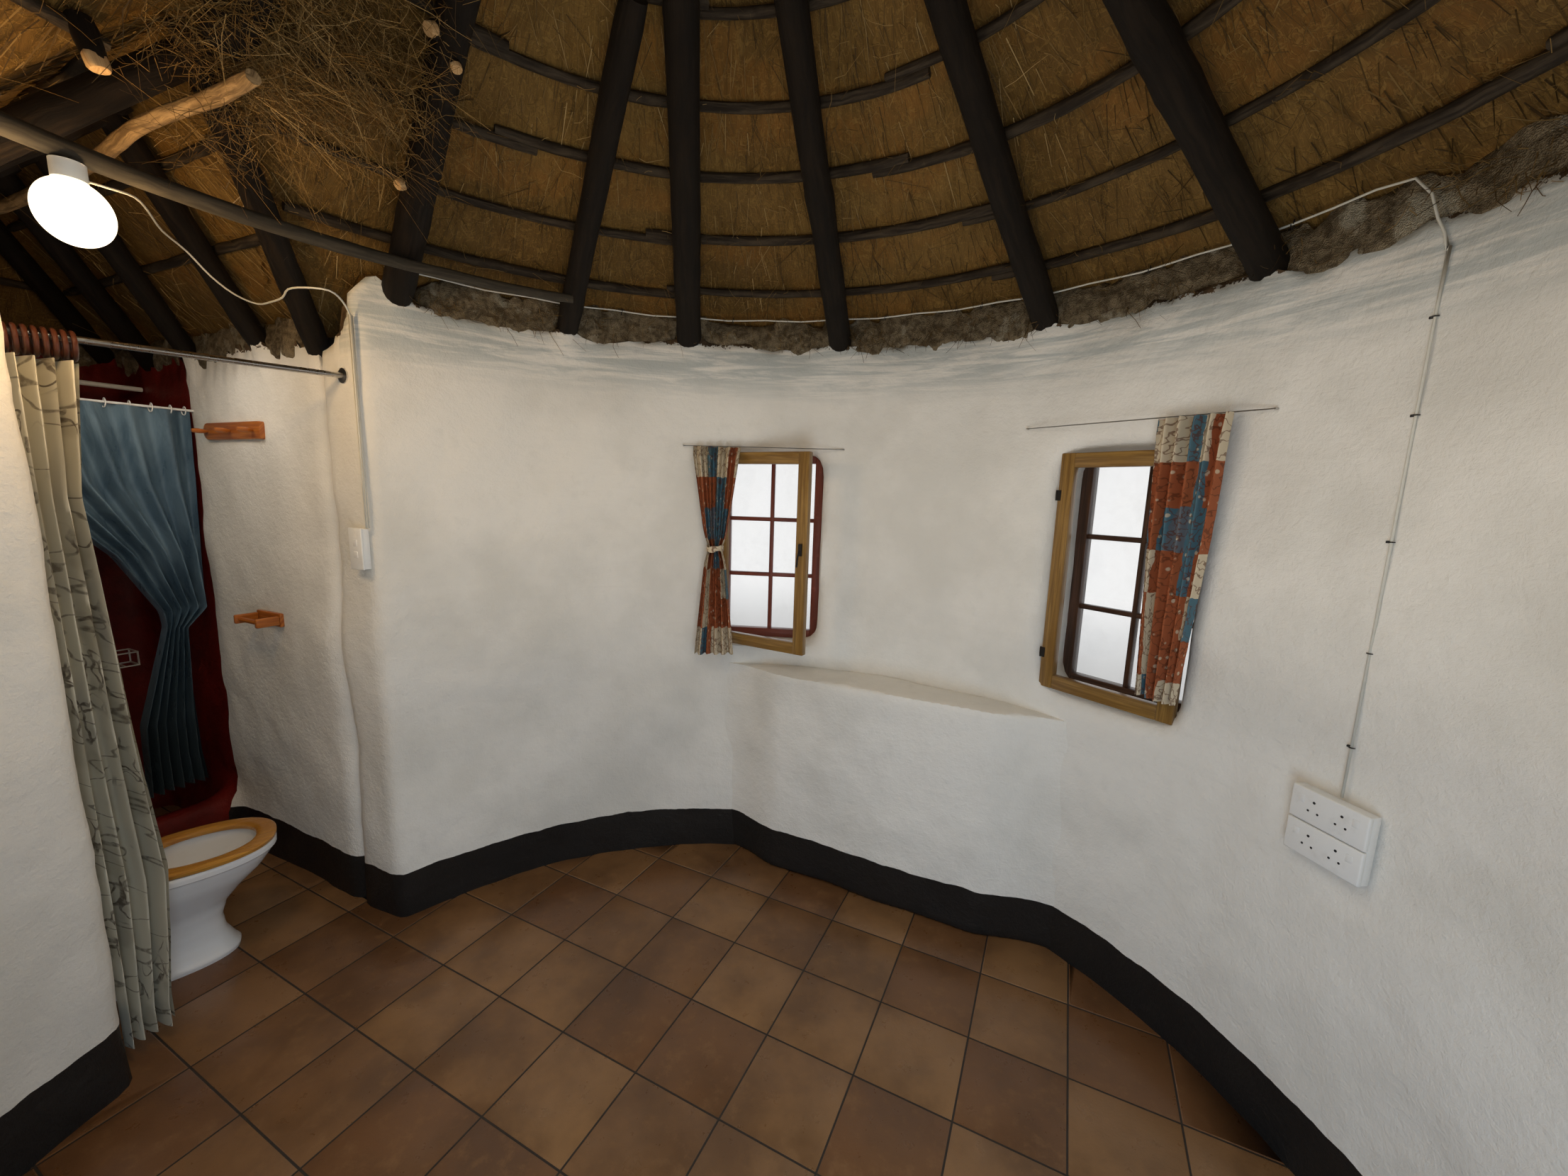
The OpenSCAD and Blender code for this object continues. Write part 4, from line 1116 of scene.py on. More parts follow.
@dataclass
class Plaster:
    """The walls, with their lumps, worn arrises and torn top."""

    voxel: float = 0.042
    broad: float = 0.012
    fine: float = 0.0045
    lip: float = 0.05
    hump_az: float = 138.2
    hump_rise: float = 0.08
    daub: float = 0.055
    daub_size: float = 0.07
    ends: int = 4000
    noise: Lumps = field(default_factory=lambda: Lumps(11))

    @staticmethod
    def feet() -> Array:
        """Where the poles' undersides meet the walls' inner faces, as rows."""
        places = []
        for wing, nodes in ((False, ("rafters_long", "rafters_middle", "rafters_short")),
                            (True, ("wing_rafters",))):
            for cloud in loose(*nodes):
                low, high, radius = PoleWork.axis(cloud)
                path = low + (high - low) * np.linspace(0, 1, 200)[:, None]
                past = abs(HUT.to_wing(path)[:, 1]) - HUT.wing_half if wing else polar(path)[1] - HUT.room_r
                places.append(path[np.abs(past).argmin()] - (0, 0, radius))
        return np.array(places)

    def reveal(self, points: Array) -> Array:
        """A mask of the points that lie in a window's or the door's sides."""
        az, r = polar(points)
        through = (r > HUT.room_r + 0.01) & (r < HUT.wall_out - 0.01)
        mask = np.zeros(len(points), bool)
        for centre, half, low, high in ((85, 10.5, 1.1, 2.3), (34.3, 10.5, 1.1, 2.3), (-90, 17, 0.0, 2.3)):
            mask |= through & (np.abs(az - centre) < half) & (points[:, 2] > low) & (points[:, 2] < high)
        return mask

    def wall(self, name: str, nodes: Sequence[str], rise: Callable[[Array], Array]) -> Object:
        """A plastered mass with a raised lip at its top.

        Args:
            name: Name of the piece.
            nodes: The CAD nodes.
            rise: Gives from the points how much of the lip's height they get.

        Returns:
            The piece.
        """
        feet = self.feet()

        def lumps(at: Array) -> Array:
            """How far the plaster stands out at each point."""
            move = self.broad * self.noise.rough(at, 0.42, 2) + self.fine * self.noise.rough(at, 0.09, 2)
            off = np.linalg.norm(at[:, None] - feet, axis=2).min(1) / self.daub_size
            return np.where(self.reveal(at), np.abs(move) * 0.35, move + self.daub * np.exp(-off ** 2))

        piece = copy_of(name, *nodes)
        soften(piece, self.voxel)
        swell(piece, lumps)
        points = spots(piece)
        level, share = points * (1, 1, 0), rise(points)
        wave = self.lip + 0.016 * self.noise.at(level, 0.16) + 0.012 * self.noise.at(level, 0.05)
        points[:, 2] = np.maximum(points[:, 2] + np.where(share > 0, wave + share - 1, 0.0), 0.0)
        set_spots(piece, points)
        return finished(piece, LIMEWASH, nodes, 60)

    def round_rise(self, at: Array) -> Array:
        """Share of the lip's height that the round wall's points get, with a hump beside the opening."""
        az, r = polar(at)
        top = (at[:, 2] > HUT.wall_top - 0.09) & (r < HUT.room_r + 0.10)
        return top * (1 + self.hump_rise * np.exp(-((az - self.hump_az) / 1.9) ** 2))

    def wing_rise(self, at: Array) -> Array:
        """Share of the lip's height that the wing walls' points get."""
        inner = np.abs(HUT.to_wing(at)[:, 1]) < HUT.wing_half + 0.09
        return 1.0 * ((at[:, 2] > HUT.wing_top - 0.07) & inner)

    def lumpy(self, name: str, nodes: Sequence[str], finish: Finish, voxel: float, steps: int, by: float,
              size: float) -> None:
        """Mortar, cement or mud.

        Args:
            name: Name of the piece.
            nodes: The CAD nodes.
            finish: Its finish.
            voxel: Size of its faces.
            steps: Passes of smoothing.
            by: Height of its lumps.
            size: Width of its lumps.
        """
        piece = copy_of(name, *nodes)
        soften(piece, voxel, steps)
        swell(piece, lambda at: (by * self.noise.rough(at, size, 3) + by / 2) * (at[:, 2] > 0.03))
        finished(piece, finish, nodes, 60)

    def ledge(self) -> None:
        """The ledge under the windows, whose ends run out into the wall."""
        piece = copy_of("plaster_ledge", "window_ledge")
        soften(piece, 0.018, 2)
        swell(piece, lambda at: 0.008 * self.noise.rough(at, 0.24, 3))
        points = spots(piece)
        az, r = polar(points)
        share = np.clip(np.minimum(az - az.min(), az.max() - az) / 13, 0, 1)
        reach = np.maximum(r, r + (HUT.room_r + 0.02 - r) * (1 - share * share * (3 - 2 * share))) / r
        set_spots(piece, points * xyz(reach, reach, 1))
        finished(piece, LIMEWASH, ["window_ledge"], 50)

    def wisps(self) -> None:
        """Grass ends that hang out of the filling, over the plaster."""
        rng = np.random.default_rng(17)
        out = around(1, rng.uniform(-math.pi, math.pi, self.ends), 0)
        roots = out * (HUT.room_r - 0.002) + (0, 0, HUT.wall_top + 0.012)
        roots[:, 2] += rng.uniform(0, 0.10, self.ends)
        local = HUT.to_wing(roots)
        keep = (local[:, 0] < 0) | (np.abs(local[:, 1]) > HUT.wing_half + 0.05)
        keep &= Lumps(3).at(roots, 0.13) > rng.uniform(-0.6, 0.6, self.ends)
        out, roots = out[keep], roots[keep]
        count = len(roots)
        ways = rng.normal(0, 0.6, (count, 3)) - out * 0.45 - (0, 0, 0.8)
        stalks("filling_grass", roots, ways, rng.uniform(0.015, 0.075, count),
               rng.uniform(0.0016, 0.003, count), rng.uniform(0, 0.9, count), STRAW,
               rng.normal(0, 0.35, (count, 3)))

    def build(self) -> None:
        """Make all the plaster and mortar."""
        self.wall("round_wall", [
            "wall_back_left", "wall_window_1", "wall_back", "wall_window_2", "wall_right", "wall_front_right",
            "wall_over_door", "wall_front_left", "wall_left"], self.round_rise)
        self.wall("wing_walls", ["wing_wall_right", "wing_wall_left", "wing_wall_end", "shower_kerb"],
                  self.wing_rise)
        self.lumpy("top_infill", ["wall_top_fill", "wing_top_fill"], INFILL, 0.036, 0, 0.016, 0.07)
        self.ledge()
        self.lumpy("door_sill", ["threshold"], CEMENT, 0.022, 3, 0.004, 0.12)
        self.lumpy("mortar_caps", ["apex_cap", "ridge_cap"], CAP_MORTAR, 0.026, 2, 0.008, 0.16)
        self.wisps()


@dataclass
class Floor:
    """Square tiles with sunk joints, cut to the room and the wing."""

    across: int = 26
    joint: float = 0.0045
    rise: float = 0.0028
    arris: float = 0.0015
    round: float = 0.0006
    spread: float = 1.02

    def build(self) -> None:
        """Lay the tiles."""
        tile = FLOOR_TILE.size
        bpy.ops.mesh.primitive_grid_add(x_subdivisions=self.across, y_subdivisions=self.across,
                                        size=self.across * tile)
        piece = bpy.context.object
        piece.name = "floor_tiles"
        with editing(piece):
            bpy.ops.mesh.select_mode(type="FACE")
            for inset, rise in ((self.joint, self.rise), (self.arris, self.round)):
                bpy.ops.mesh.inset(thickness=inset, use_individual=True, use_boundary=True)
                bpy.ops.transform.translate(value=(0, 0, rise))
        set_spots(piece, spots(piece) + (0, 0, HUT.floor - self.rise - self.round))
        with editing(piece):
            bpy.ops.mesh.extrude_region_move(TRANSFORM_OT_translate={"value": (0, 0, 0.012 - HUT.floor)})
            bpy.ops.mesh.select_all(action="SELECT")
            bpy.ops.mesh.normals_make_consistent(inside=False)
        spin = turn(FLOOR_TILE.turn)
        middle = Vector((*FLOOR_TILE.node, 0)) + spin @ Vector((5 * tile, -3 * tile, 0))
        placed(piece, Matrix.Translation(middle) @ spin)
        outline = copy_of("floor_outline", "floor_slab")
        set_spots(outline, spots(outline) * (self.spread, self.spread, 1.5) - (0, 0, 0.02))
        modify(piece, "BOOLEAN", operation="INTERSECT", object=outline, solver="EXACT")
        bpy.data.objects.remove(outline)
        finished(piece, FLOOR_TILE, ["floor_slab"], 30)


# Thatch


@dataclass
class ThatchRoof:
    """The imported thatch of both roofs, with loose stalks inside, outside and along the eaves."""

    voxel: float = 0.058
    inner: int = 11500
    wing_inner: int = 5000
    outer: int = 12000
    wing_outer: int = 7000
    fringe: int = 6800
    wing_fringe: int = 4200
    loose: int = 6000
    tangle: int = 220000
    rake: float = 0.07
    rng: np.random.Generator = field(default_factory=lambda: np.random.default_rng(5))
    noise: Lumps = field(default_factory=lambda: Lumps(23))

    def bed(self, name: str, node: str, wing: bool) -> None:
        """One roof's packed thatch.

        Args:
            name: Name of the piece.
            node: The CAD node that it stands for.
            wing: True for the wing's roof.
        """
        piece = copy_of(name, node)
        modify(piece, "REMESH", mode="VOXEL", voxel_size=self.voxel)
        swell(piece, lambda at: 0.010 * self.noise.rough(at, 0.22, 3))
        self.unwrap(piece, wing)
        for finish in (THATCH, WEATHERED):
            piece.data.materials.append(finish.material())
        up = np.empty(len(piece.data.polygons) * 3, dtype=np.float32)
        piece.data.polygons.foreach_get("normal", up)
        piece.data.polygons.foreach_set("material_index", (up.reshape(-1, 3)[:, 2] > 0).astype(np.int32))
        finished(piece, THATCH, [node], 60)

    @staticmethod
    def unwrap(piece: Object, wing: bool) -> None:
        """Give a roof a UV map across and along its stalks.

        Args:
            piece: The roof, of four-sided faces.
            wing: True for the wing's roof.
        """
        at = corner_spots(piece)
        if wing:
            local = HUT.to_wing(at).reshape(-1, 4, 3)
            mid = local.mean(1, keepdims=True)
            side = np.abs(mid[..., 1]) >= mid[..., 0] - HUT.wing_hip
            u = np.where(side, local[..., 0], local[..., 1])
            v = np.where(side, np.abs(local[..., 1]), local[..., 0] - HUT.wing_hip) * 1.41
        else:
            az = np.radians(polar(at)[0]).reshape(-1, 4)
            az = az[:, :1] + (az - az[:, :1] + math.pi) % (2 * math.pi) - math.pi
            u, v = az * 1.3, polar(at)[1].reshape(-1, 4) * 1.22
        set_uv(piece, u, v)

    def lay(self, name: str, places: tuple[Array, Array], reach: tuple[float, float], finish: Finish,
            width: float = 0.0026, spread: float = 0.2, lift: float = 0.03, dark: float = 1.4) -> None:
        """Loose stalks down a slope.

        Args:
            name: Name of the piece.
            places: Where they start and the way down there, as rows.
            reach: Shortest and longest length.
            finish: Their finish.
            width: Thickness of a stalk.
            spread: How far they stray to the sides.
            lift: How far they stray off the slope.
            dark: Power that makes more of them dark.
        """
        roots, down = places
        count = len(roots)
        across = unit(np.cross(down, (0, 0, 1.0)))
        stray = spread * np.where(self.rng.uniform(0, 1, count) < 0.15, 4, 1)
        ways = (down + across * (self.rng.normal(0, 1, count) * stray)[:, None]
                + np.cross(across, down) * self.rng.normal(0, lift, count)[:, None])
        lengths = self.rng.uniform(*reach, count)
        luck = self.rng.uniform(0, 1, count) ** dark
        stalks(name, roots, ways, lengths, width * self.rng.uniform(0.6, 1.4, count), luck, finish)

    def on_round(self, r: Array, az: Array, off: Array | float) -> tuple[Array, Array]:
        """Places so far above the round roof's poles, and the way down from each, as rows."""
        tilt = math.radians(HUT.pitch)
        return around(r, az, HUT.cone_z(r, off)), around(math.cos(tilt), az, -math.sin(tilt))

    def scatter(self, wing: bool, count: int, offs: tuple[float, float], depth: float,
                radii: tuple[float, float]) -> tuple[Array, Array]:
        """Random places on a layer of one roof, where that roof is the upper one.

        Args:
            wing: True for the wing's roof.
            count: How many are tried.
            offs: The layer's distance above the poles' undersides, for the round roof and for the wing's.
            depth: Depth of the layer, towards the room where negative.
            radii: Least and greatest distance from the room's centre, on the round roof.

        Returns:
            The places and the way down from each, as rows.
        """
        if wing:
            x = self.rng.uniform(0.7, HUT.wing_tip - 0.2, count)
            half = HUT.wing_out + HUT.wing_eave - 0.2
            y = self.rng.uniform(-half, half, count)
            z = HUT.wing_z(x, y, offs[1] + depth * self.rng.uniform(0, 1, count))
            side = np.abs(y) >= x - HUT.wing_hip
            slope = math.radians(HUT.wing_pitch)
            way = xyz(np.where(side, 0, math.cos(slope)), np.where(side, np.sign(y) * math.cos(slope), 0),
                      -math.sin(slope))
            roots = HUT.from_wing(xyz(x, y, z))
            down = HUT.from_wing(xyz(x, y, z) + way) - roots
        else:
            r = np.sqrt(self.rng.uniform(radii[0] ** 2, radii[1] ** 2, count))
            az = self.rng.uniform(-math.pi, math.pi, count)
            roots, down = self.on_round(r, az, offs[0] + depth * self.rng.uniform(0, 1, count))
        round_z, wing_z = self.heights(roots, *offs)
        keep = (wing_z > round_z) == wing
        return roots[keep], down[keep]

    @staticmethod
    def heights(points: Array, off: float, wing_off: float) -> tuple[Array, Array]:
        """Heights of both roofs' layers at some points; a roof that isn't there gives a very low one.

        Args:
            points: The points as rows.
            off: The round roof's layer.
            wing_off: The wing's layer.

        Returns:
            Height of the round roof and of the wing's.
        """
        r, (x, y, _) = polar(points)[1], HUT.to_wing(points).T
        there = (x > 0) & (np.abs(y) < HUT.wing_out + HUT.wing_eave) & (x < HUT.wing_tip)
        return (np.where(r < HUT.eave_r, HUT.cone_z(r, off), -9.0),
                np.where(there, HUT.wing_z(x, y, wing_off), -9.0))

    def curls(self, name: str, roots: Array, reach: tuple[float, float], drop: float,
              flat: float = 0.35) -> None:
        """Thin curled wisps of every direction.

        Args:
            name: Name of the piece.
            roots: Where they start, as rows.
            reach: Shortest and longest length.
            drop: How much they point and bend down.
            flat: How much they stray off the level.
        """
        count = len(roots)
        ways = unit(self.rng.normal(0, 1, (count, 3)) * (1, 1, flat)) - (0, 0, drop)
        bends = self.rng.normal(0, 0.4, (count, 3)) - (0, 0, drop * 0.4)
        stalks(name, roots, ways, self.rng.uniform(*reach, count), self.rng.uniform(0.0012, 0.0024, count),
               self.rng.uniform(0.2, 1, count) ** 1.3, STRAW, bends)

    def inside(self) -> None:
        """Stalks on the undersides, curled wisps on them, and grass that hangs over the opening."""
        offs, radii = (HUT.under, HUT.wing_under), (0.1, HUT.eave_r - 0.3)
        for wing, count, wisps, name in ((False, self.inner, self.loose, "ceiling"),
                                         (True, self.wing_inner, self.loose // 4, "wing_ceiling")):
            straw = self.scatter(wing, count, offs, -0.012, radii)
            curled, _ = self.scatter(wing, wisps, offs, -0.055, radii)
            self.lay(name + "_straw", straw, (0.03, 0.17), STRAW)
            self.curls(name + "_wisps", curled, (0.02, 0.11), 0.06, 0.5)
        r = np.sqrt(self.rng.uniform(0.5 ** 2, 1.65 ** 2, self.tangle))
        az = self.rng.uniform(-math.pi, math.pi, self.tangle)
        roots, _ = self.on_round(r, az, HUT.under - 0.03 - 0.12 * self.rng.uniform(0, 1, self.tangle))
        near = np.exp(-((np.degrees(az) - 150) / 14) ** 2 - ((r - 1.12) / 0.32) ** 2)
        thick = near * (0.85 + 0.6 * self.noise.rough(roots, 0.2, 2))
        kept = thick > self.rng.uniform(0.15, 1.1, self.tangle)
        self.curls("hanging_grass", roots[kept], (0.03, 0.16), 0.35)

    def outside(self) -> None:
        """Weathered stalks on the roofs' outer faces."""
        offs = HUT.under + HUT.thatch_t, HUT.wing_under + HUT.wing_thatch_t
        for wing, count, reach, name in ((False, self.outer, (0.2, 0.46), "roof_straw"),
                                         (True, self.wing_outer, (0.14, 0.34), "wing_roof_straw")):
            places = self.scatter(wing, count, offs, 0.014, (0.3, HUT.eave_r - 0.3))
            self.lay(name, places, reach, WEATHERED_STRAW, 0.0042, 0.09, 0.02, 1.0)

    def eaves(self) -> None:
        """Cut ends of the stalks along the eaves."""
        share = self.rng.uniform(0, 1, self.fringe)
        az = self.rng.uniform(-math.pi, math.pi, self.fringe)
        off = HUT.under + HUT.thatch_t * (1 - share)
        roots, down = self.on_round(HUT.eave_r - self.rake * share - 0.055, az, off)
        keep = self.heights(roots, 0, HUT.wing_under)[1] < roots[:, 2]
        self.lay("eave_straw", (roots[keep], down[keep]), (0.07, 0.125), WEATHERED_STRAW,
                 0.006, 0.14, 0.1, 1.2)
        edge, end, start = HUT.wing_out + HUT.wing_eave, HUT.wing_tip, 1.7
        run = end - start
        total = 2 * run + 2 * edge
        walked = self.rng.uniform(0, 1, self.wing_fringe) * total
        side = np.where(walked < run, 1, np.where(walked > run + 2 * edge, -1, 0))
        x = np.where(side == 1, start + walked, np.where(side == -1, start + total - walked, end - 0.05))
        y = np.where(side == 0, edge - (walked - run), side * (edge - 0.05))
        z = HUT.wing_z(x, y, HUT.wing_under + HUT.wing_thatch_t * self.rng.uniform(0, 1, self.wing_fringe))
        slope = math.sin(math.radians(HUT.wing_pitch))
        flat = xyz(x, y, z)
        roots = HUT.from_wing(flat)
        ways = HUT.from_wing(flat + xyz(np.where(side == 0, slope, 0), side * slope, -slope)) - roots
        keep = polar(roots)[1] > HUT.eave_r - 0.1
        self.lay("wing_eave_straw", (roots[keep], ways[keep]), (0.08, 0.13), WEATHERED_STRAW,
                 0.006, 0.14, 0.1, 1.2)

    def build(self) -> None:
        """Make both roofs' thatch."""
        self.bed("round_thatch", "thatch_round", False)
        self.bed("wing_thatch", "thatch_wing", True)
        self.inside()
        self.outside()
        self.eaves()


# Poles


@dataclass
class PoleWork:
    """Roof poles, bent poles and laths, each grown a little crooked."""

    step: float = 0.06
    lath_piece: float = 1.35
    # Azimuths, radii and heights off the poles' undersides of a branch's two ends, and its thickness
    branches: tuple[tuple[tuple[float, float], tuple[float, float], tuple[float, float], float], ...] = (
        ((136, 139.6), (1.02, 1.0), (0.06, 0.02), 0.020), ((136, 135.2), (1.05, 1.02), (0.06, -0.012), 0.017),
        ((136, 138.6), (1.40, 1.38), (0.07, 0.02), 0.017), ((165, 164.4), (1.45, 1.43), (0.13, 0.035), 0.021),
        ((271, 274), (1.2, 1.2), (0.06, 0.02), 0.02), ((203, 200.4), (1.3, 1.3), (0.06, 0.02), 0.02))
    rng: np.random.Generator = field(default_factory=lambda: np.random.default_rng(8))

    @staticmethod
    def axis(cloud: Array) -> tuple[Array, Array, float]:
        """Ends and radius of a round pole from the points of its mesh.

        Args:
            cloud: The points as rows.

        Returns:
            The two ends of its axis, the lower first, and its radius.
        """
        middle = cloud.mean(0)
        way = np.linalg.svd(cloud - middle, full_matrices=False)[2][0]
        t = (cloud - middle) @ way
        low, high = cloud[t < 0].mean(0), cloud[t >= 0].mean(0)
        way = (high - low) / np.linalg.norm(high - low)
        t = (cloud - low) @ way
        radius = float(np.linalg.norm(cloud - low - t[:, None] * way, axis=1).max())
        ends = [low + way * t.min(), low + way * t.max()]
        ends.sort(key=lambda end: end[2])
        return ends[0], ends[1], radius

    def grown(self, path: Array, radius: float, crook: float = 0.007, rough: float = 0.05, sides: int = 16,
              taper: float = 0.09) -> Object:
        """A pole along a path, crooked, tapered and knotted.

        Args:
            path: Its axis, as rows.
            radius: Its mean radius.
            crook: How far it strays from its axis.
            rough: Roughness of its skin, as a share of the radius.
            sides: Faces round it.
            taper: How much thinner its end is than its start, as a share.

        Returns:
            The pole.
        """
        seed = int(self.rng.integers(1 << 30))
        noise = Lumps(seed)
        length = float(np.linalg.norm(np.diff(path, axis=0), axis=1).sum())
        v = np.linspace(0, 1, max(6, int(length / self.step)))
        centre, *across = walk(path, v)
        at = xyz(v * length, 0, 0)
        hold = crook * np.minimum(1, np.minimum(v, 1 - v) * 8)
        for way, shift in zip(across, (0, 50)):
            centre = centre + way * (hold * noise.rough(at + shift, 0.8, 2))[:, None]
        knots = self.rng.uniform(0.08, 0.92, max(1, int(length / 0.55)))

        def girth(share: Array) -> Array:
            """The pole's radius along its length."""
            swell = sum(np.exp(-((share - knot) * length / 0.035) ** 2) for knot in knots)
            return radius * (1.0 + taper * (0.45 - share) + 0.07 * swell)

        return tube(centre, girth, sides, len(v) - 1, rough, seed)

    def straight(self, node: str, name: str, finish: Finish, crook: float = 0.007, slim: float = 1.0,
                 rough: float = 0.05, sides: int = 16) -> None:
        """Every straight pole of a node, as one piece.

        Args:
            node: The CAD node.
            name: Name of the piece.
            finish: Its finish.
            crook: How far the poles stray from their axes.
            slim: Their thickness, as a share of the CAD's.
            rough: Roughness of their skin, as a share of the radius.
            sides: Faces round each.
        """
        axes = [self.axis(cloud) for cloud in loose(node)]
        poles = [self.grown(np.linspace(low, high, 12), radius * slim, crook, rough, sides)
                 for low, high, radius in axes]
        fitted(name, poles, finish, [node], 50)

    def header(self) -> None:
        """The smooth bent pole over the opening."""
        cloud = loose("header_pole")[0]
        az = np.arctan2(cloud[:, 1], cloud[:, 0]) % (2 * math.pi)
        r, z = polar(cloud)[1], cloud[:, 2]
        path = around((r.max() + r.min()) / 2, np.linspace(az.min(), az.max(), 40), (z.max() + z.min()) / 2)
        pole = self.grown(path, (z.max() - z.min()) / 2 * 0.76, 0.004, 0.03, taper=-0.5)
        fitted("bent_header", [pole], GREY_BARK, ["header_pole"], 50)

    def rings(self) -> None:
        """Laths round the roof, each ring made of saplings that overlap."""
        laths = []
        for cloud in loose("lath_rings"):
            r, z = polar(cloud)[1], cloud[:, 2]
            az = np.sort(np.arctan2(cloud[:, 1], cloud[:, 0]))
            gaps = np.diff(np.append(az, az[0] + 2 * math.pi))
            widest = int(gaps.argmax())
            span = 2 * math.pi - gaps[widest] if gaps[widest] > 0.12 else 2 * math.pi + 0.1
            count = max(1, round(span * (r.max() + r.min()) / 2 / self.lath_piece))
            for k in range(count):
                shares = np.linspace(k - 0.05 * (k > 0), k + 1 + 0.05 * (k + 1 < count), 16) / count
                path = around((r.max() + r.min()) / 2 + 0.010 * (-1) ** k,
                              az[(widest + 1) % len(az)] + span * shares,
                              (z.max() + z.min()) / 2 - 0.007 * (-1) ** k)
                laths.append(self.grown(path, HUT.lath_d / 2 * self.rng.uniform(0.8, 1.05), 0.006, 0.1, 8))
        fitted("lath_saplings", laths, LATH, ["lath_rings"], 50)

    @staticmethod
    def crown() -> None:
        """The block that the poles' heads meet at."""
        piece = copy_of("crown_block", "apex_block")
        soften(piece, 0.014, 3)
        swell(piece, lambda at: 0.006 * Lumps(31).rough(at * (1, 1, 0.3), 0.05, 3))
        grain(piece, 2)
        finished(piece, BARK, ["apex_block"], 50)

    def stubs(self) -> None:
        """Stumps of cut branches, with their pale ends."""
        cuts, stumps = [], []
        for k, (az, r, off, thick) in enumerate(self.branches):
            ends = around(np.array(r), np.radians(az), HUT.cone_z(np.array(r), np.array(off)))
            for sort, start, end, wide in ((cuts, 0.7, 1, 0.97), (stumps, 0, 0.86, 1.12)):
                path = ends[:1] + (ends[1:] - ends[:1]) * np.linspace(start, end, 6)[:, None]
                sort.append(tube(path, lambda v: thick * wide * (1.05 - 0.1 * v), 12, 5, 0.12, k))
        fitted("branch_stumps", stumps, BARK, smooth=50)
        fitted("branch_stubs", cuts, CUT_END, smooth=50)

    def build(self) -> None:
        """Make all the poles."""
        for row in (("rafters_long", "long_poles", BARK), ("rafters_middle", "middle_poles", BARK),
                    ("rafters_short", "short_poles", BARK), ("valley_poles", "valley_saplings", BARK, 0.005),
                    ("wing_rafters", "wing_poles", BARK),
                    ("wing_ridge_pole", "pale_ridge", PALE_POLE, 0.030, 0.47)):
            self.straight(*row)
        self.header()
        self.rings()
        self.straight("wing_laths", "wing_saplings", LATH, 0.006, 0.9, 0.1, 8)
        self.crown()
        self.stubs()


# Windows and door


@dataclass(frozen=True)
class Opening:
    """A window's place and its two finishes."""

    az: float
    sash: Finish
    ajar: float
    sash_node: str
    leaf_node: str


@dataclass
class Windows:
    """Sashes with glazing bars, and hinged inner leaves."""

    width: float = 0.52
    height: float = 0.95
    sill: float = 1.1
    sash_x: float = 1.91
    sash_w: float = 0.045
    leaf_w: float = 0.055
    leaf_t: float = 0.034
    gap: float = 0.012
    bar: float = 0.02
    openings: tuple[Opening, ...] = (
        Opening(85.0, RED_PAINT, 25.0, "window_sash_1", "window_leaf_1"),
        Opening(34.3, DARK_WOOD, 0.0, "window_sash_2", "window_leaf_2"))

    @staticmethod
    def surround(x: tuple[float, float], y: tuple[float, float], z: tuple[float, float],
                 w: float) -> list[Object]:
        """Two stiles with two rails between them.

        Args:
            x: The surround's two faces.
            y: Its sides.
            z: Its bottom and top.
            w: Width of the members.

        Returns:
            The members.
        """
        stiles = [(x[0], a, z[0], x[1], a + w, z[1], 0.004) for a in (y[0], y[1] - w)]
        rails = [(x[0] + 0.0006, y[0] + w - 0.001, a, x[1] - 0.0006, y[1] - w + 0.001, a + w, 0.004)
                 for a in (z[0], z[1] - w)]
        return blocks((0, 0, 0), *stiles, *rails)

    def sash(self, opening: Opening, place: Matrix) -> None:
        """A fixed sash of six panes."""
        half, w, bar = self.width / 2 - 0.0003, self.sash_w, self.bar / 2
        faces, ends = (self.sash_x, self.sash_x + w), (0.0003, self.height - 0.0003)
        parts = self.surround(faces, (-half, half), ends, w)
        x0, x1 = self.sash_x + 0.008, self.sash_x + w - 0.008
        levels = [w + (self.height - 2 * w) * k / 3 for k in (1, 2)]
        parts += blocks((0, 0, 0), (x0, -bar, w - 0.002, x1, bar, self.height - w + 0.002, 0.004), *(
            (x0 + 0.001, w - half - 0.002, z - bar, x1 - 0.001, half - w + 0.002, z + bar, 0.004)
            for z in levels))
        fitted(opening.sash_node + "_joinery", parts, opening.sash, [opening.sash_node], 35, place)

    def leaf(self, opening: Opening, place: Matrix) -> None:
        """An inner leaf with its hinges."""
        width, high = self.width - self.gap - 0.006, self.height - 2 * self.gap
        x = math.sqrt(HUT.room_r ** 2 - (self.width / 2) ** 2) + 0.004
        hang = place @ Matrix.Translation((x, self.width / 2 - 0.0063, self.gap)) @ turn(-opening.ajar)
        parts = self.surround((0, self.leaf_t), (-width, -0.004), (0, high), self.leaf_w)
        fitted(opening.leaf_node + "_joinery", parts, VARNISHED, [opening.leaf_node], 35, hang)
        iron = []
        for z in (0.12, high - 0.18):
            iron.append(tube([(0, 0, z), (0, 0, z + 0.04)], 0.0042, 14, 3))
            iron.append(block((-0.002, -0.018, z), (0.0006, -0.002, z + 0.04), 0.0008, 1))
        y, z = -width, high * 0.5
        iron.append(block((-0.016, y + 0.018, z), (0.0005, y + 0.034, z + 0.055), 0.003))
        handle = [(-0.012, y + 0.026, z + 0.03), (-0.022, y + 0.03, z - 0.005), (-0.022, y + 0.034, z - 0.05)]
        iron.append(tube(handle, 0.0045, 10, 8))
        fitted(opening.leaf_node + "_iron", iron, IRON, place=hang)

    def build(self) -> None:
        """Make both windows."""
        for opening in self.openings:
            place = turn(opening.az) @ Matrix.Translation((0, 0, HUT.floor + self.sill))
            self.sash(opening, place)
            self.leaf(opening, place)
        dress(GLASS, "window_glass")


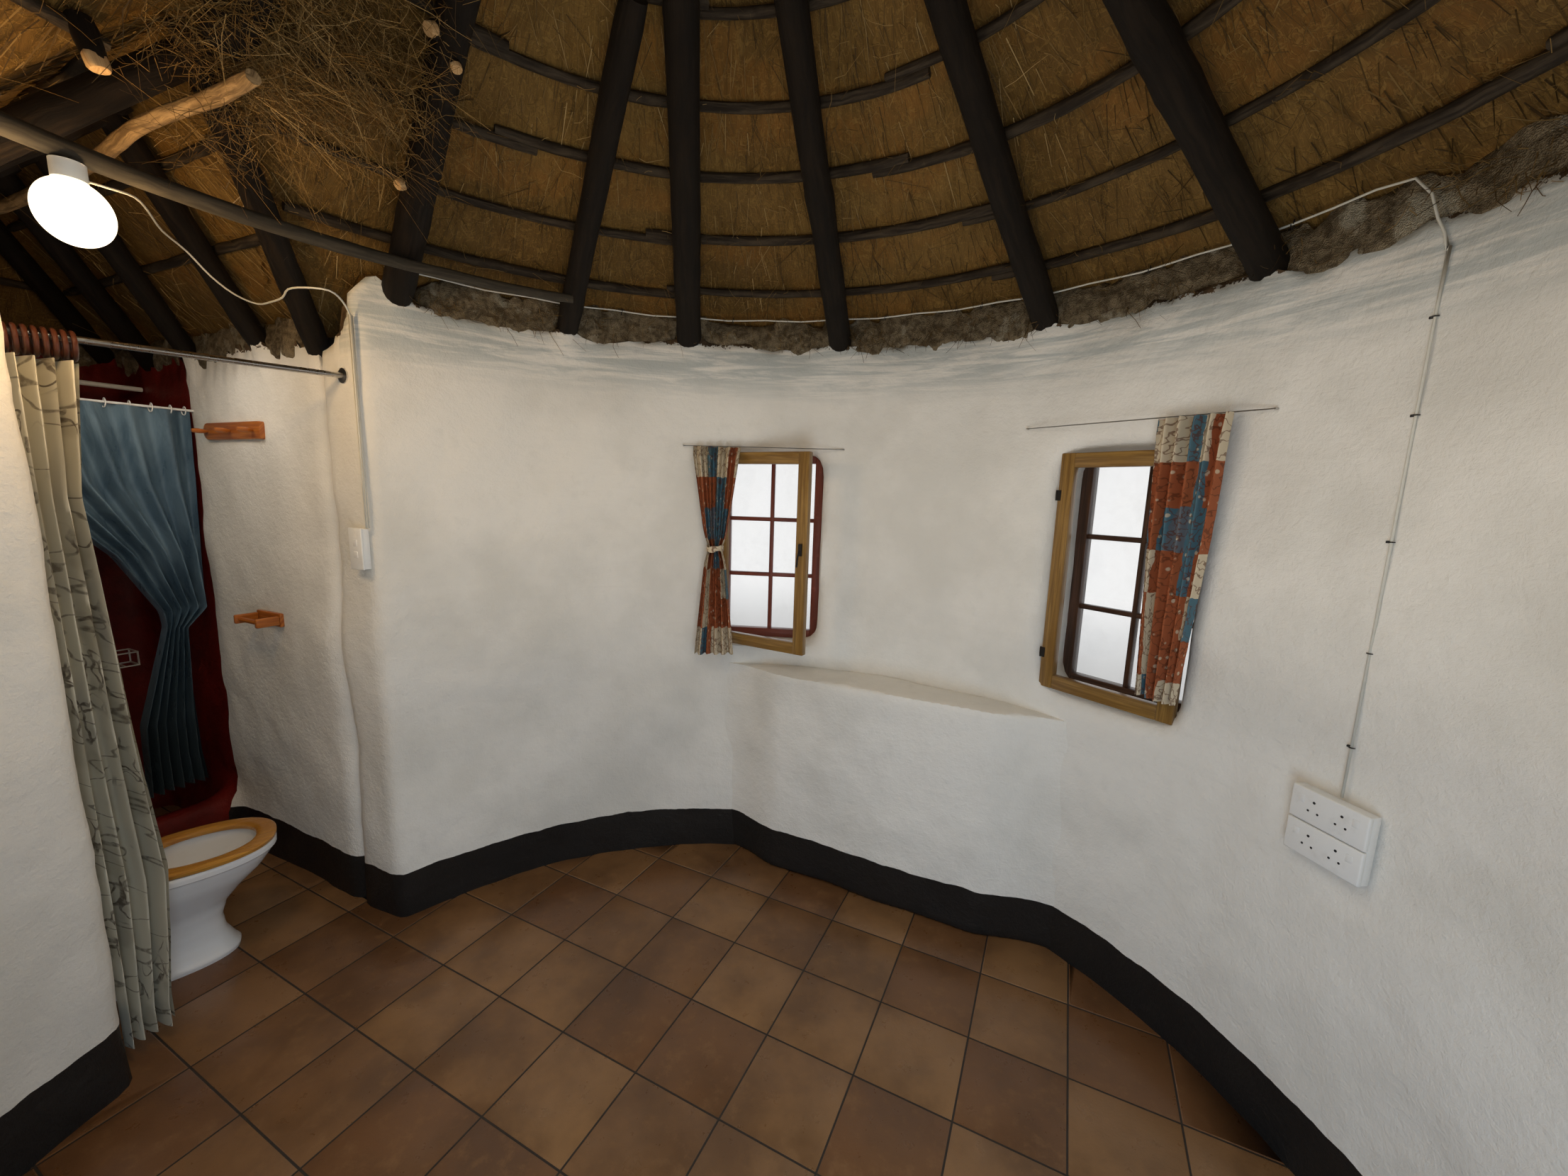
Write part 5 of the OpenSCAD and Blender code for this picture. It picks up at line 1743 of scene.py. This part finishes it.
@dataclass
class Door:
    """The frame and the ledged plank door that stands open."""

    az: float = 270.0
    width: float = 0.9
    height: float = 2.05
    member: float = 0.065
    depth: float = 0.11
    thick: float = 0.032
    open_by: float = 95.0
    knuckle: float = 0.016
    planks: int = 6

    def frame_place(self) -> Matrix:
        """The door frame's own axes: x outwards, y along the wall."""
        x = math.sqrt(HUT.room_r ** 2 - (self.width / 2) ** 2) + 0.01
        return turn(self.az) @ Matrix.Translation((x, 0, HUT.floor))

    def frame(self) -> None:
        """Two jambs and a head, with a stop for the leaf."""
        half, m, deep = self.width / 2 - 0.0003, self.member, self.thick + 0.004
        steps = ((0, deep, m - 0.014), (deep, self.depth, m))
        jambs = [(x0, min(s * half, s * (half - w)), 0.0003, x1, max(s * half, s * (half - w)),
                  self.height - 0.0006, 0.003) for s in (-1, 1) for x0, x1, w in steps]
        heads = [(x0, m - half - 0.01, self.height - w, x1, half - m + 0.01, self.height - 0.001, 0.003)
                 for x0, x1, w in steps]
        parts = blocks((0, 0, 0), *jambs, *heads)
        fitted("door_joinery", parts, DARK_WOOD, ["door_frame"], 35, self.frame_place())

    def leaf(self) -> None:
        """Grooved planks on three ledges, with strap hinges and nails."""
        width, high = self.width - 2 * self.member + 0.02, self.height - self.member + 0.006
        face, each = -self.knuckle / 2, width / self.planks
        front = face + self.thick
        place = self.frame_place() @ Matrix.Translation(
            (face - 0.0003, -self.width / 2 + self.member - 0.012, 0.006)) @ turn(self.open_by)
        parts, iron, heads = [], [], []
        for k in range(self.planks):
            low = (face, k * each + 0.0008, 0)
            parts.append(block(low, (front, (k + 1) * each - 0.0008, high), 0.004, 1))
            grain(parts[-1], 2, k * 0.37)
        for z in (0.22, high / 2 - 0.06, high - 0.32):
            parts.append(block((face - 0.028, 0.06, z), (face + 0.001, width - 0.06, z + 0.12), 0.005))
            low = (front - 0.001, 0, z + 0.04)
            iron.append(block(low, (front + 0.004, width * 0.62, z + 0.08), 0.0015, 1))
            iron.append(tube([(0, 0, z + 0.015), (0, 0, z + 0.105)], self.knuckle / 2, 16, 3))
            heads += [(front + 0.003, y, z + 0.06) for y in (0.04, 0.16, 0.3, 0.44)]
            heads += [(face - 0.0285, (k + s) * each, z + h) for k in range(self.planks) for s in (0.3, 0.7)
                      for h in (0.03, 0.09) if 0.08 < (k + s) * each < width - 0.08]
        for x, y, z in heads:
            iron.append(tube([(x, y, z), (x + (0.0022 if x > 0 else -0.0018), y, z)], 0.005, 8, 1))
        fitted("plank_door", parts, DOOR_WOOD, ["door_leaf"], 35, place)
        fitted("door_iron", iron, IRON, place=place)

    def build(self) -> None:
        """Make the door."""
        self.frame()
        self.leaf()
        dress(IRON, "door_handle")


# Cloth


class Hang(Enum):
    HUNG = "hung"
    GATHERED = "gathered"


@dataclass
class Cloths:
    """Curtains and the shower sheet, all shaped by folds of a constant length of cloth."""

    # Radius of the wires' hooks
    hook: float = HUT.room_r - 0.014
    # Heights above the floor and azimuths of the two wires
    wires: tuple[tuple[float, float, float], ...] = ((2.062, 73.4, 98.5), (2.135, 20.5, 47.0))
    # Azimuth and length of the tied curtain, and the height of its waist as a share of the length
    tied_az: float = 93.2
    tied_high: float = 0.99
    waist: float = 0.52

    @staticmethod
    def depth(stretch: float, width: Array, folds: int) -> Array:
        """Half the depth of so many folds, when a length of cloth is pushed to these widths."""
        slopes, phase = np.linspace(0, 60, 240), np.linspace(0, 2 * math.pi, 120)
        ratio = np.sqrt(1 + (slopes[:, None] * np.cos(phase)) ** 2).mean(1)
        return np.interp(stretch / width, ratio, slopes) * width / (2 * math.pi * folds)

    def reach(self, az: float, wire: Sequence[float]) -> float:
        """How far a wire is from the room's axis at an azimuth."""
        half, middle = (wire[2] - wire[1]) / 2, (wire[1] + wire[2]) / 2
        return self.hook * math.cos(math.radians(half)) / math.cos(math.radians(az - middle))

    def cloth(self, name: str, node: str, finish: Finish, place: Matrix, flat: tuple[float, float],
              folds: int, path: Callable[[Array], tuple[Array, Array, Array]], z: tuple[float, float],
              seed: int, rows: int = 70) -> None:
        """A folded cloth that hangs between two edges.

        Args:
            name: Name of the piece.
            node: CAD node that it stands for.
            finish: Its finish.
            place: Its own axes: x across the folds, y along them, z up.
            flat: Width of the cloth, and its length down the middle.
            folds: Number of folds.
            path: Gives x, and the two edges' y, from the height.
            z: Height of the top and of the hem.
            seed: Seed of the folds' unevenness.
            rows: Faces from top to hem.
        """
        noise = Lumps(seed)

        def shape(u: Array, v: Array) -> Array:
            """The cloth's points."""
            at = xyz(u * 2.2, v * 0.9, 0)
            height = z[0] + (z[1] - z[0]) * v
            x, y0, y1 = path(height)
            even = u + 0.16 * noise.at(at, 0.6) * np.sin(math.pi * u)
            half = self.depth(flat[0], np.abs(y1 - y0), folds) * (1 + 0.4 * noise.at(at + 9, 0.35))
            swing = np.sin(2 * math.pi * folds * even) + 0.22 * np.sin(4 * math.pi * folds * even + 4 * v)
            crease = 0.0016 * noise.rough(xyz(u * flat[0], v * 1.5, 0), 0.05, 3)
            hem = 0.006 * noise.at(at + 3, 0.5) * v
            return xyz(x + half * swing + crease, y0 + (y1 - y0) * even, height + hem)

        piece = placed(grid(name, folds * 24, rows, shape, flat), place)
        finished(piece, finish, [node], 80)

    def window(self, index: int, az: float, high: float, inward: float, bite: float,
               outline: tuple[Sequence[float], Sequence[float]]) -> None:
        """One window's curtain, gathered on its wire.

        Args:
            index: 1 or 2.
            az: Azimuth of its middle.
            high: Its length.
            inward: How far it hangs in front of its wire.
            bite: How deep its tie presses in.
            outline: Heights from the hem as shares of the length, and half widths there.
        """
        wire = self.wires[index - 1]
        reach, top = self.reach(az, wire) - 0.004, HUT.floor + wire[0] - 0.0023

        def path(height: Array) -> tuple[Array, Array, Array]:
            """The wire's distance and the curtain's two edges, from the height."""
            share = (height - top + high) / high
            half = np.interp(share, *outline) - bite * np.exp(-((share - self.waist) / 0.05) ** 2)
            out = np.clip((top - height) / 0.05, 0, 1)
            return reach - inward * out * out * (3 - 2 * out), half, -half

        self.cloth(f"window_cloth_{index}", f"window_curtain_{index}", BLOCK_PRINT, turn(az), (0.5, high), 5,
                   path, (top, top - high), 40 + index)

    def tie(self) -> None:
        """The band round the first window's curtain."""
        a = np.linspace(0, 2 * math.pi, 41)
        middle = self.reach(self.tied_az, self.wires[0]) - 0.066
        z = HUT.floor + 2.06 - self.tied_high * (1 - self.waist)
        path = xyz(middle + 0.031 * np.cos(a), 0.040 * np.sin(a), z + 0.004 * np.sin(2 * a))

        def shape(u: Array, v: Array) -> Array:
            """The band's points."""
            at = along(path, u)
            at[:, 2] += (v - 0.5) * 0.026 * (1 + 0.2 * np.sin(u * 31))
            return at

        band = grid("curtain_tie", 60, 4, shape, (0.24, 0.03), True)
        modify(band, "SOLIDIFY", thickness=0.0015, offset=0)
        finished(placed(band, turn(self.tied_az)), BLOCK_PRINT, smooth=60)

    def washroom(self) -> None:
        """The printed curtain pushed to the left of the opening."""
        heights = (0.14, 0.34, 0.58, 0.89, 1.08, 1.36, 1.6, 1.78, 1.87, 2.16)
        right = (0.160, 0.140, 0.120, 0.140, 0.150, 0.160, 0.170, 0.180, 0.170, 0.146)

        def path(height: Array) -> tuple[Array, Array, Array]:
            """The curtain's distance and its two edges, from the height."""
            above = height - HUT.floor
            lean = np.interp(above, (0.05, 2.16), (HUT.room_r + 0.10, HUT.room_r + 0.125))
            return lean, np.interp(above, heights, right), np.full(len(height), 0.279)

        hem, top = (corner[2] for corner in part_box("washroom_curtain"))
        self.cloth("washroom_cloth", "washroom_curtain", LINE_PRINT, HUT.wing_place(), (0.75, top - hem), 4,
                   path, (top, hem), 51, 110)

    def shower(self) -> None:
        """The plastic sheet drawn to the right and tied there, and its rings."""
        hem, top = (corner[2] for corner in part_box("shower_curtain"))
        wall_z = (0.40, 0.56, 1.159, 1.244, 1.84, 2.135)
        wall_y = (-0.390, -0.379, -0.378, -0.464, -0.482, -0.488)
        free_z = (0.40, 0.732, 1.17, 1.237, 1.5, 1.8, 2.135)
        free_y = (-0.17, -0.181, -0.300, -0.294, -0.17, 0.08, 0.20)

        def path(height: Array) -> tuple[Array, Array, Array]:
            """The sheet's distance and its two edges, from the height."""
            above = height - HUT.floor
            return (np.full(len(height), HUT.shower_x - 0.022), np.interp(above, wall_z, wall_y) + 0.004,
                    np.interp(above, free_z, free_y))

        self.cloth("shower_sheet", "shower_curtain", SHEETING, HUT.wing_place(), (0.95, top - hem), 6,
                   path, (top, hem), 63, 80)
        a = np.linspace(0, 2 * math.pi, 17)
        x, z = HUT.shower_x - 0.02 + 0.016 * np.cos(a), top + 0.002 + 0.019 * np.sin(a)
        rings = [tube(xyz(x, -0.47 + 0.66 * (k / 9) ** 1.2 + a * 0.0012, z), 0.0022, 6, 16)
                 for k in range(10)]
        fitted("shower_rings", rings, PLASTIC, smooth=60, place=HUT.wing_place())

    def build(self) -> None:
        """Hang all the cloth."""
        self.window(1, self.tied_az, self.tied_high, 0.062, 0.012,
                    ((0.0, self.waist, 1.0), (0.0945, 0.045, 0.1125)))
        self.window(2, 27.2, 0.93, 0.004, 0.0, ((0.0, 0.6, 1.0), (0.0675, 0.099, 0.1125)))
        self.tie()
        self.washroom()
        self.shower()
        dress(WIRE, "curtain_wires")
        dress(RING_WOOD, "curtain_rings")
        dress(PLASTIC, "shower_rail", "shower_rack")
        dress(STEEL, "curtain_rail")


# Washroom and fittings


@dataclass
class Toilet:
    """The pan, its wooden seat and the cistern, with x from the back to the front."""

    turn: float = 23.5
    beyond: float = 0.356
    rim: float = 0.425
    tank: float = 0.396
    sides: int = 64

    def place(self) -> Matrix:
        """The toilet's own axes."""
        back = HUT.wing_half - 0.012 - self.tank / 2 * math.sin(math.radians(self.turn))
        move = Matrix.Translation((HUT.wall_out + self.beyond, back, HUT.floor))
        return HUT.wing_place() @ move @ turn(-90 - self.turn)

    def loft(self, name: str, rows: Sequence[tuple[float, float, float, float, float]], steps: int) -> Object:
        """A rounded body with open ends, through level outlines.

        Args:
            name: Name of the piece.
            rows: Height, front, back, half width and squareness of each outline.
            steps: Faces between the first outline and the last.

        Returns:
            The piece.
        """
        def shape(u: Array, v: Array) -> Array:
            """The body's points."""
            z, front, back, half, power = along(np.array(rows), v).T
            angle = 2 * math.pi * np.round(u * self.sides) / self.sides
            c, s = np.cos(angle), np.sin(angle)
            x = np.sign(c) * np.abs(c) ** (2 / power) * (front - back) / 2 + (front + back) / 2
            return xyz(x, np.sign(s) * np.abs(s) ** (2 / power) * half, z)

        return grid(name, self.sides, steps, shape, (1, 1), True)

    def pan(self) -> None:
        """The pan, with its waist, flared foot and bowl."""
        rim = self.rim
        foot = [(0.0003, 0.600, 0.115, 0.115, 2.5), (0.015, 0.603, 0.115, 0.117, 2.5),
                (0.035, 0.590, 0.120, 0.108, 2.5), (0.09, 0.565, 0.128, 0.094, 2.4),
                (0.15, 0.560, 0.130, 0.092, 2.4), (0.21, 0.580, 0.130, 0.104, 2.3),
                (0.27, 0.632, 0.132, 0.132, 2.3), (0.33, 0.695, 0.145, 0.160, 2.3)]
        lip = [(0.375, 0.726, 0.170, 0.174, 2.3), (0.395, 0.736, 0.185, 0.179, 2.3),
               (0.398, 0.742, 0.188, 0.183, 2.3), (0.415, 0.742, 0.188, 0.183, 2.3),
               (rim - 0.001, 0.738, 0.192, 0.179, 2.3), (rim, 0.730, 0.205, 0.172, 2.3)]
        bowl = [(rim, 0.706, 0.322, 0.146, 2.2), (rim - 0.004, 0.699, 0.332, 0.139, 2.2),
                (rim - 0.03, 0.694, 0.338, 0.136, 2.1), (rim - 0.09, 0.676, 0.358, 0.122, 2.1),
                (rim - 0.15, 0.640, 0.396, 0.096, 2.0), (rim - 0.2, 0.595, 0.442, 0.068, 2.0),
                (rim - 0.215, 0.560, 0.480, 0.04, 2.0)]
        piece = self.loft("toilet_pan_glazed", foot + lip + bowl, 60)
        close_up(piece)
        finished(placed(piece, self.place()), GLAZE, ["toilet_pan"], 50)

    def seat(self) -> None:
        """The varnished seat, as a rounded ring, and its hinges."""
        z, top = self.rim + 0.0004, self.rim + 0.0224
        rows = [(z, 0.735, 0.290, 0.176, 2.3), (z + 0.004, 0.743, 0.282, 0.183, 2.3),
                (top - 0.007, 0.744, 0.281, 0.184, 2.3), (top - 0.002, 0.738, 0.287, 0.179, 2.3),
                (top, 0.728, 0.297, 0.170, 2.3), (top, 0.696, 0.352, 0.140, 2.2),
                (top - 0.002, 0.688, 0.360, 0.132, 2.2), (top - 0.007, 0.682, 0.367, 0.127, 2.2),
                (z + 0.003, 0.681, 0.368, 0.126, 2.2), (z, 0.686, 0.362, 0.131, 2.2),
                (z, 0.735, 0.290, 0.176, 2.3)]
        piece = self.loft("toilet_seat_wood", rows, 40)
        with editing(piece):
            bpy.ops.mesh.normals_make_consistent(inside=False)
        grain(piece, 0)
        hinges = [tube([(0.272, y - 0.018, z + 0.012), (0.272, y + 0.018, z + 0.012)], 0.009, 14, 3)
                  for y in (-0.07, 0.07)]
        fitted("seat_hinges", hinges, STEEL, place=self.place())
        finished(placed(piece, self.place()), SEAT_WOOD, ["toilet_seat"], 50)

    def cistern(self) -> None:
        """The cistern with its lid and lever."""
        low, half = self.rim + 0.0004, self.tank / 2
        parts = blocks((0, 0, low), (0.02, 0.008 - half, 0, 0.195, half - 0.008, 0.33, 0.022, 5),
                       (0.012, -half, 0.33, 0.203, half, 0.36, 0.009, 4))
        lever = [tube([(0.194, 0.13, low + 0.285), (0.208, 0.13, low + 0.285)], 0.013, 20, 4),
                 tube([(0.207, 0.135, low + 0.285), (0.212, 0.11, low + 0.284), (0.212, 0.07, low + 0.279)],
                      lambda v: 0.0045 + 0.002 * v, 12, 10)]
        fitted("flush_lever", lever, STEEL, place=self.place())
        fitted("cistern_glazed", parts, GLAZE, ["toilet_cistern"], 35, self.place())

    def build(self) -> None:
        """Make the toilet."""
        self.pan()
        self.seat()
        self.cistern()


@dataclass
class Fittings:
    """Towel board, roll holder, lamp, switch, sockets and cable clips."""

    # Low corner of the board and the holder, on the wing's right wall
    corner: tuple[float, float] = (HUT.wall_out + 0.335, 0.0003 - HUT.wing_half)
    board: tuple[float, float, float] = (0.47, 0.074, 0.02)
    socket_az: float = 10.0
    clip_z: tuple[float, ...] = (1.25, 1.5, 1.78, 2.08, 2.3)
    tie_az: tuple[float, ...] = (107.5, 91.0, 68.0, 54.5, 34.5, 21.5)

    def towel_board(self) -> None:
        """A board with a rounded end and three turned pegs."""
        (x, y), z, (w, h, t) = self.corner, HUT.floor + 2.008, self.board

        def shape(u: Array, v: Array) -> Array:
            """The board's points."""
            c, s = (way(2 * math.pi * np.round(u * 56) / 56) for way in (np.cos, np.sin))
            square_x, square_z = (np.sign(way) * np.abs(way) ** 0.25 for way in (c, s))
            px = np.where(c < 0, 0.03 + square_x * 0.03, w - h / 2 + c * h / 2)
            pz = h / 2 + np.where(c < 0, square_z, s) * h / 2
            inset = np.interp(v, (0, 0.6, 0.8, 1.0), (0, 0, 0.0018, 0.006))
            px += (w / 2 - px) * inset / 0.1 * 0.3
            pz += (h / 2 - pz) * inset / (h / 2)
            return xyz(x + px, y + np.interp(v, (0, 0.6, 0.8, 1.0), (0, t - 0.004, t - 0.001, t)), z + pz)

        board = grid("board", 56, 5, shape, (1, 1), True)
        close_up(board)
        grain(board, 0)
        out = np.linspace(y + t - 0.001, y + t + 0.054, 9)
        pegs = [tube(xyz(x + px, out, z + h / 2),
                     lambda v: 0.006 + 0.003 * np.sin(3.0 * v) ** 2 + 0.0028 * v, 16, 12)
                for px in (0.05, w / 2, w - 0.04)]
        fitted("towel_board", [board, *pegs], ORANGE_WOOD, ["towel_rail"], 40, HUT.wing_place())

    def roll_holder(self) -> None:
        """A wall plate with two arms and a roller."""
        (x, y), z = self.corner, HUT.floor + 1.2
        arms = [(px, 0.017, 0.01, px + 0.018, 0.103, 0.05, 0.006, 3) for px in (0, 0.172)]
        path = xyz(np.linspace(x + 0.017, x + 0.173, 9), y + 0.085, z + 0.03)
        fitted("roll_holder_wood", [*blocks((x, y, z), (0, 0, 0, 0.19, 0.018, 0.06, 0.005, 3), *arms),
                                    tube(path, lambda v: 0.010 - 0.0015 * np.abs(2 * v - 1) ** 4, 20, 16)],
               ORANGE_WOOD, ["roll_holder"], 40, HUT.wing_place())

    def switch(self) -> None:
        """A switch in its surface box."""
        rockers = [(0.028, 0.031, z, 0.052, 0.0338, z + 0.026, 0.002) for z in (0.045, 0.09)]
        parts = blocks((HUT.room_r - 0.048, self.corner[1], HUT.floor + 1.51),
                       (0.002, 0, 0.002, 0.078, 0.026, 0.158, 0.003),
                       (0, 0.025, 0, 0.08, 0.0325, 0.16, 0.0028, 3), *rockers)
        fitted("switch_plate", parts, PLASTIC, ["switch_box"], 40, HUT.wing_place())

    def sockets(self) -> None:
        """Two pairs of sockets, one above the other, and the clips of their cable."""
        x, z = HUT.room_r - 0.045, HUT.floor + 0.92
        white, dark = [(0.012, -0.093, 0.002, 0.038, 0.093, 0.188, 0.003)], []
        for base in (0.002, 0.097):
            white.append((0.0005, -0.094, base, 0.014, 0.094, base + 0.092, 0.004, 3))
            for s in (-1, 1):
                y = s * 0.066
                white.append((-0.0005, y - 0.008, base + 0.05, 0.003, y + 0.008, base + 0.072, 0.0015))
                for dy, up, hole in ((0, 0.062, 0.0042), (-0.012, 0.035, 0.0036), (0.012, 0.035, 0.0036)):
                    at = [(x + inward, s * 0.034 + dy, z + base + up) for inward in (0.0012, 0.0002)]
                    dark.append(tube(at, hole, 12, 1))
        fitted("socket_plates", blocks((x, 0, z), *white), PLASTIC, ["socket_box"], 40, turn(self.socket_az))
        a, reach = np.linspace(-1.75, 1.75, 11), HUT.room_r - 0.0058
        for at in (HUT.floor + height for height in self.clip_z):
            dark.append(tube(xyz(reach - 0.0062 * np.cos(a), 0.0062 * np.sin(a), at), 0.0016, 6, 10))
            low = (reach + 0.0005, 0.004, at - 0.003)
            dark.append(block(low, (HUT.room_r + 0.002, 0.014, at + 0.003), 0.001, 1))
        fitted("cable_clips", dark, BLACK_PLASTIC, place=turn(self.socket_az))

    def cable(self) -> None:
        """The cable round the room, with its ties."""
        a, r = np.linspace(0, 2 * math.pi, 9), HUT.room_r - 0.005
        top = HUT.cone_z(r, HUT.rafter_d + 0.005) + 0.002
        loop = xyz(r - 0.005 * np.cos(a), a * 0.001, top + 0.012 * np.sin(a))
        fitted("cable_ties", [placed(tube(loop, 0.0016, 6), turn(az)) for az in self.tie_az], IRON)
        cable = copy_of("thin_cable", "wall_cable")
        swell(cable, lambda at: np.full(len(at), -0.0014))
        finished(cable, SHEATH, ["wall_cable"], 60)

    @staticmethod
    def lamp() -> None:
        """The opal globe, a little smaller than its solid and hung from its top."""
        low, high = np.array(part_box("lamp_globe"))
        hook = np.array([*((low + high) / 2)[:2], high[2]])
        globe = copy_of("opal_globe", "lamp_globe")
        modify(globe, "DECIMATE", ratio=0.3)
        set_spots(globe, hook + (spots(globe) - hook) * (0.77, 0.77, 0.84))
        finished(globe, OPAL, ["lamp_globe"], 80)
        dress(PLASTIC, "lamp_holder")

    def build(self) -> None:
        """Make the small fittings."""
        self.towel_board()
        self.roll_holder()
        self.switch()
        self.sockets()
        self.cable()
        self.lamp()


# Studio


@dataclass
class Studio:
    """The camera, plain soft light, and a pale floor."""

    eye: tuple[float, float, float] = (0.24, -1.14, 1.95)
    down: float = 9.07
    roll: float = 1.82
    lens: float = 13.52
    sky: float = 0.75

    def camera(self) -> None:
        """The photograph's view."""
        data = bpy.data.cameras.new("view")
        data.sensor_width, data.lens, data.clip_start = 36.0, self.lens, 0.02
        made = linked("view", data)
        tilt = Matrix.Rotation(math.radians(90 - self.down), 4, "X")
        made.matrix_world = Matrix.Translation(self.eye) @ tilt @ turn(self.roll)
        bpy.context.scene.camera = made

    @staticmethod
    def lamp(name: str, at: Sequence[float], toward: Sequence[float], size: float, power: float,
             color: Sequence[float]) -> None:
        """A soft square lamp that the camera doesn't see.

        Args:
            name: Its name.
            at: Where it is.
            toward: What it points at.
            size: Its width.
            power: Its power, in watts.
            color: Its colour.
        """
        data = bpy.data.lights.new(name, "AREA")
        data.size, data.energy, data.color = size, power, color
        made = linked(name, data)
        made.location = at
        made.rotation_euler = (Vector(toward) - Vector(at)).to_track_quat("-Z", "Y").to_euler()
        made.visible_camera = made.visible_glossy = False

    @staticmethod
    def bulb() -> None:
        """The warm light that the opal globe gives."""
        data = bpy.data.lights.new("globe_light", "POINT")
        low, high = np.array(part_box("lamp_globe"))
        data.energy, data.color = 30.0, (1.0, 0.66, 0.32)
        data.shadow_soft_size = (high[0] - low[0]) / 2 + 0.01
        made = linked("globe_light", data)
        made.location = (low + high) / 2
        made.visible_camera = made.visible_glossy = False

    def world(self) -> None:
        """Soft light from all round, and white where the background shows."""
        graph = Graph("studio", world=True)
        bpy.context.scene.world = graph.owner
        camera, glossy, through = (graph.node("ShaderNodeLightPath", out=f"Is {kind} Ray")
                                   for kind in ("Camera", "Glossy", "Transmission"))
        glow = graph.node("ShaderNodeBackground", {"Color": (0.93, 0.96, 1.0), "Strength": self.sky})
        white = graph.node("ShaderNodeBackground", {"Color": (1, 1, 1)})
        seen = camera.most(glossy).most(through)
        graph.show(graph.node("ShaderNodeMixShader", {0: seen, 1: glow, 2: white}))

    def ground(self) -> None:
        """A wide plain floor, which fades to white far away."""
        bpy.ops.object.select_all(action="DESELECT")
        bpy.ops.mesh.primitive_plane_add(size=240, location=(0, 0, 0))
        floor = bpy.context.object
        floor.name = "studio_floor"
        set_spots(floor, spots(floor) - (0, 0, 0.002))
        graph = Graph("studio_floor")
        x, y, _ = graph.split(graph.place())
        seen = graph.node("ShaderNodeLightPath", out="Is Camera Ray")
        far = ((x * x + y * y) ** 0.5).ramp(4.5, 13.0) * seen
        white = graph.node("ShaderNodeEmission", {"Color": (1, 1, 1)})
        pale = Sig(graph, graph.shader.outputs[0])
        graph.show(graph.node("ShaderNodeMixShader", {0: far, 1: pale, 2: white}))
        floor.data.materials.append(graph.close(base_color=(0.72, 0.71, 0.69), roughness=0.9))

    def build(self) -> None:
        """Set the scene up."""
        bpy.context.scene.view_settings.view_transform = "Standard"
        self.camera()
        self.world()
        self.ground()
        wing_top, wing_floor = (HUT.wing_place() @ Vector((2.4, 0.0, z)) for z in (2.5, 0.0))
        for row in (("fill_behind", (0.35, -1.35, 2.2), (-0.3, 1.2, 1.3), 1.0, 7.8, (1.0, 0.96, 0.90)),
                    ("room_up", (0.2, -0.2, 1.3), (0.0, 0.1, 4.0), 1.4, 13, (1.0, 0.90, 0.76)),
                    ("room_down", (0.1, -0.1, 2.7), (0.1, -0.1, 0.0), 1.2, 12, (1.0, 0.95, 0.88)),
                    ("wing_down", wing_top, wing_floor, 0.5, 3, (1.0, 0.93, 0.84)),
                    ("low_fill", (0.3, -1.25, 0.8), (0.3, 1.6, 0.75), 1.1, 17, (0.52, 0.74, 1.0)),
                    ("yard", (4.5, -7.5, 7.0), (0, 0, 1.5), 6.0, 500, (1.0, 0.98, 0.95))):
            self.lamp(*row)
        self.bulb()


def main() -> None:
    """Build every piece."""
    logging.basicConfig(level=logging.INFO, format="%(message)s")
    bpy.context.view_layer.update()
    for section in (Studio(), Plaster(), Floor(), ThatchRoof(), PoleWork(), Windows(), Door(), Cloths(),
                    Toilet(), Fittings()):
        log.info("%s", type(section).__name__)
        section.build()


if __name__ == "__main__":
    main()
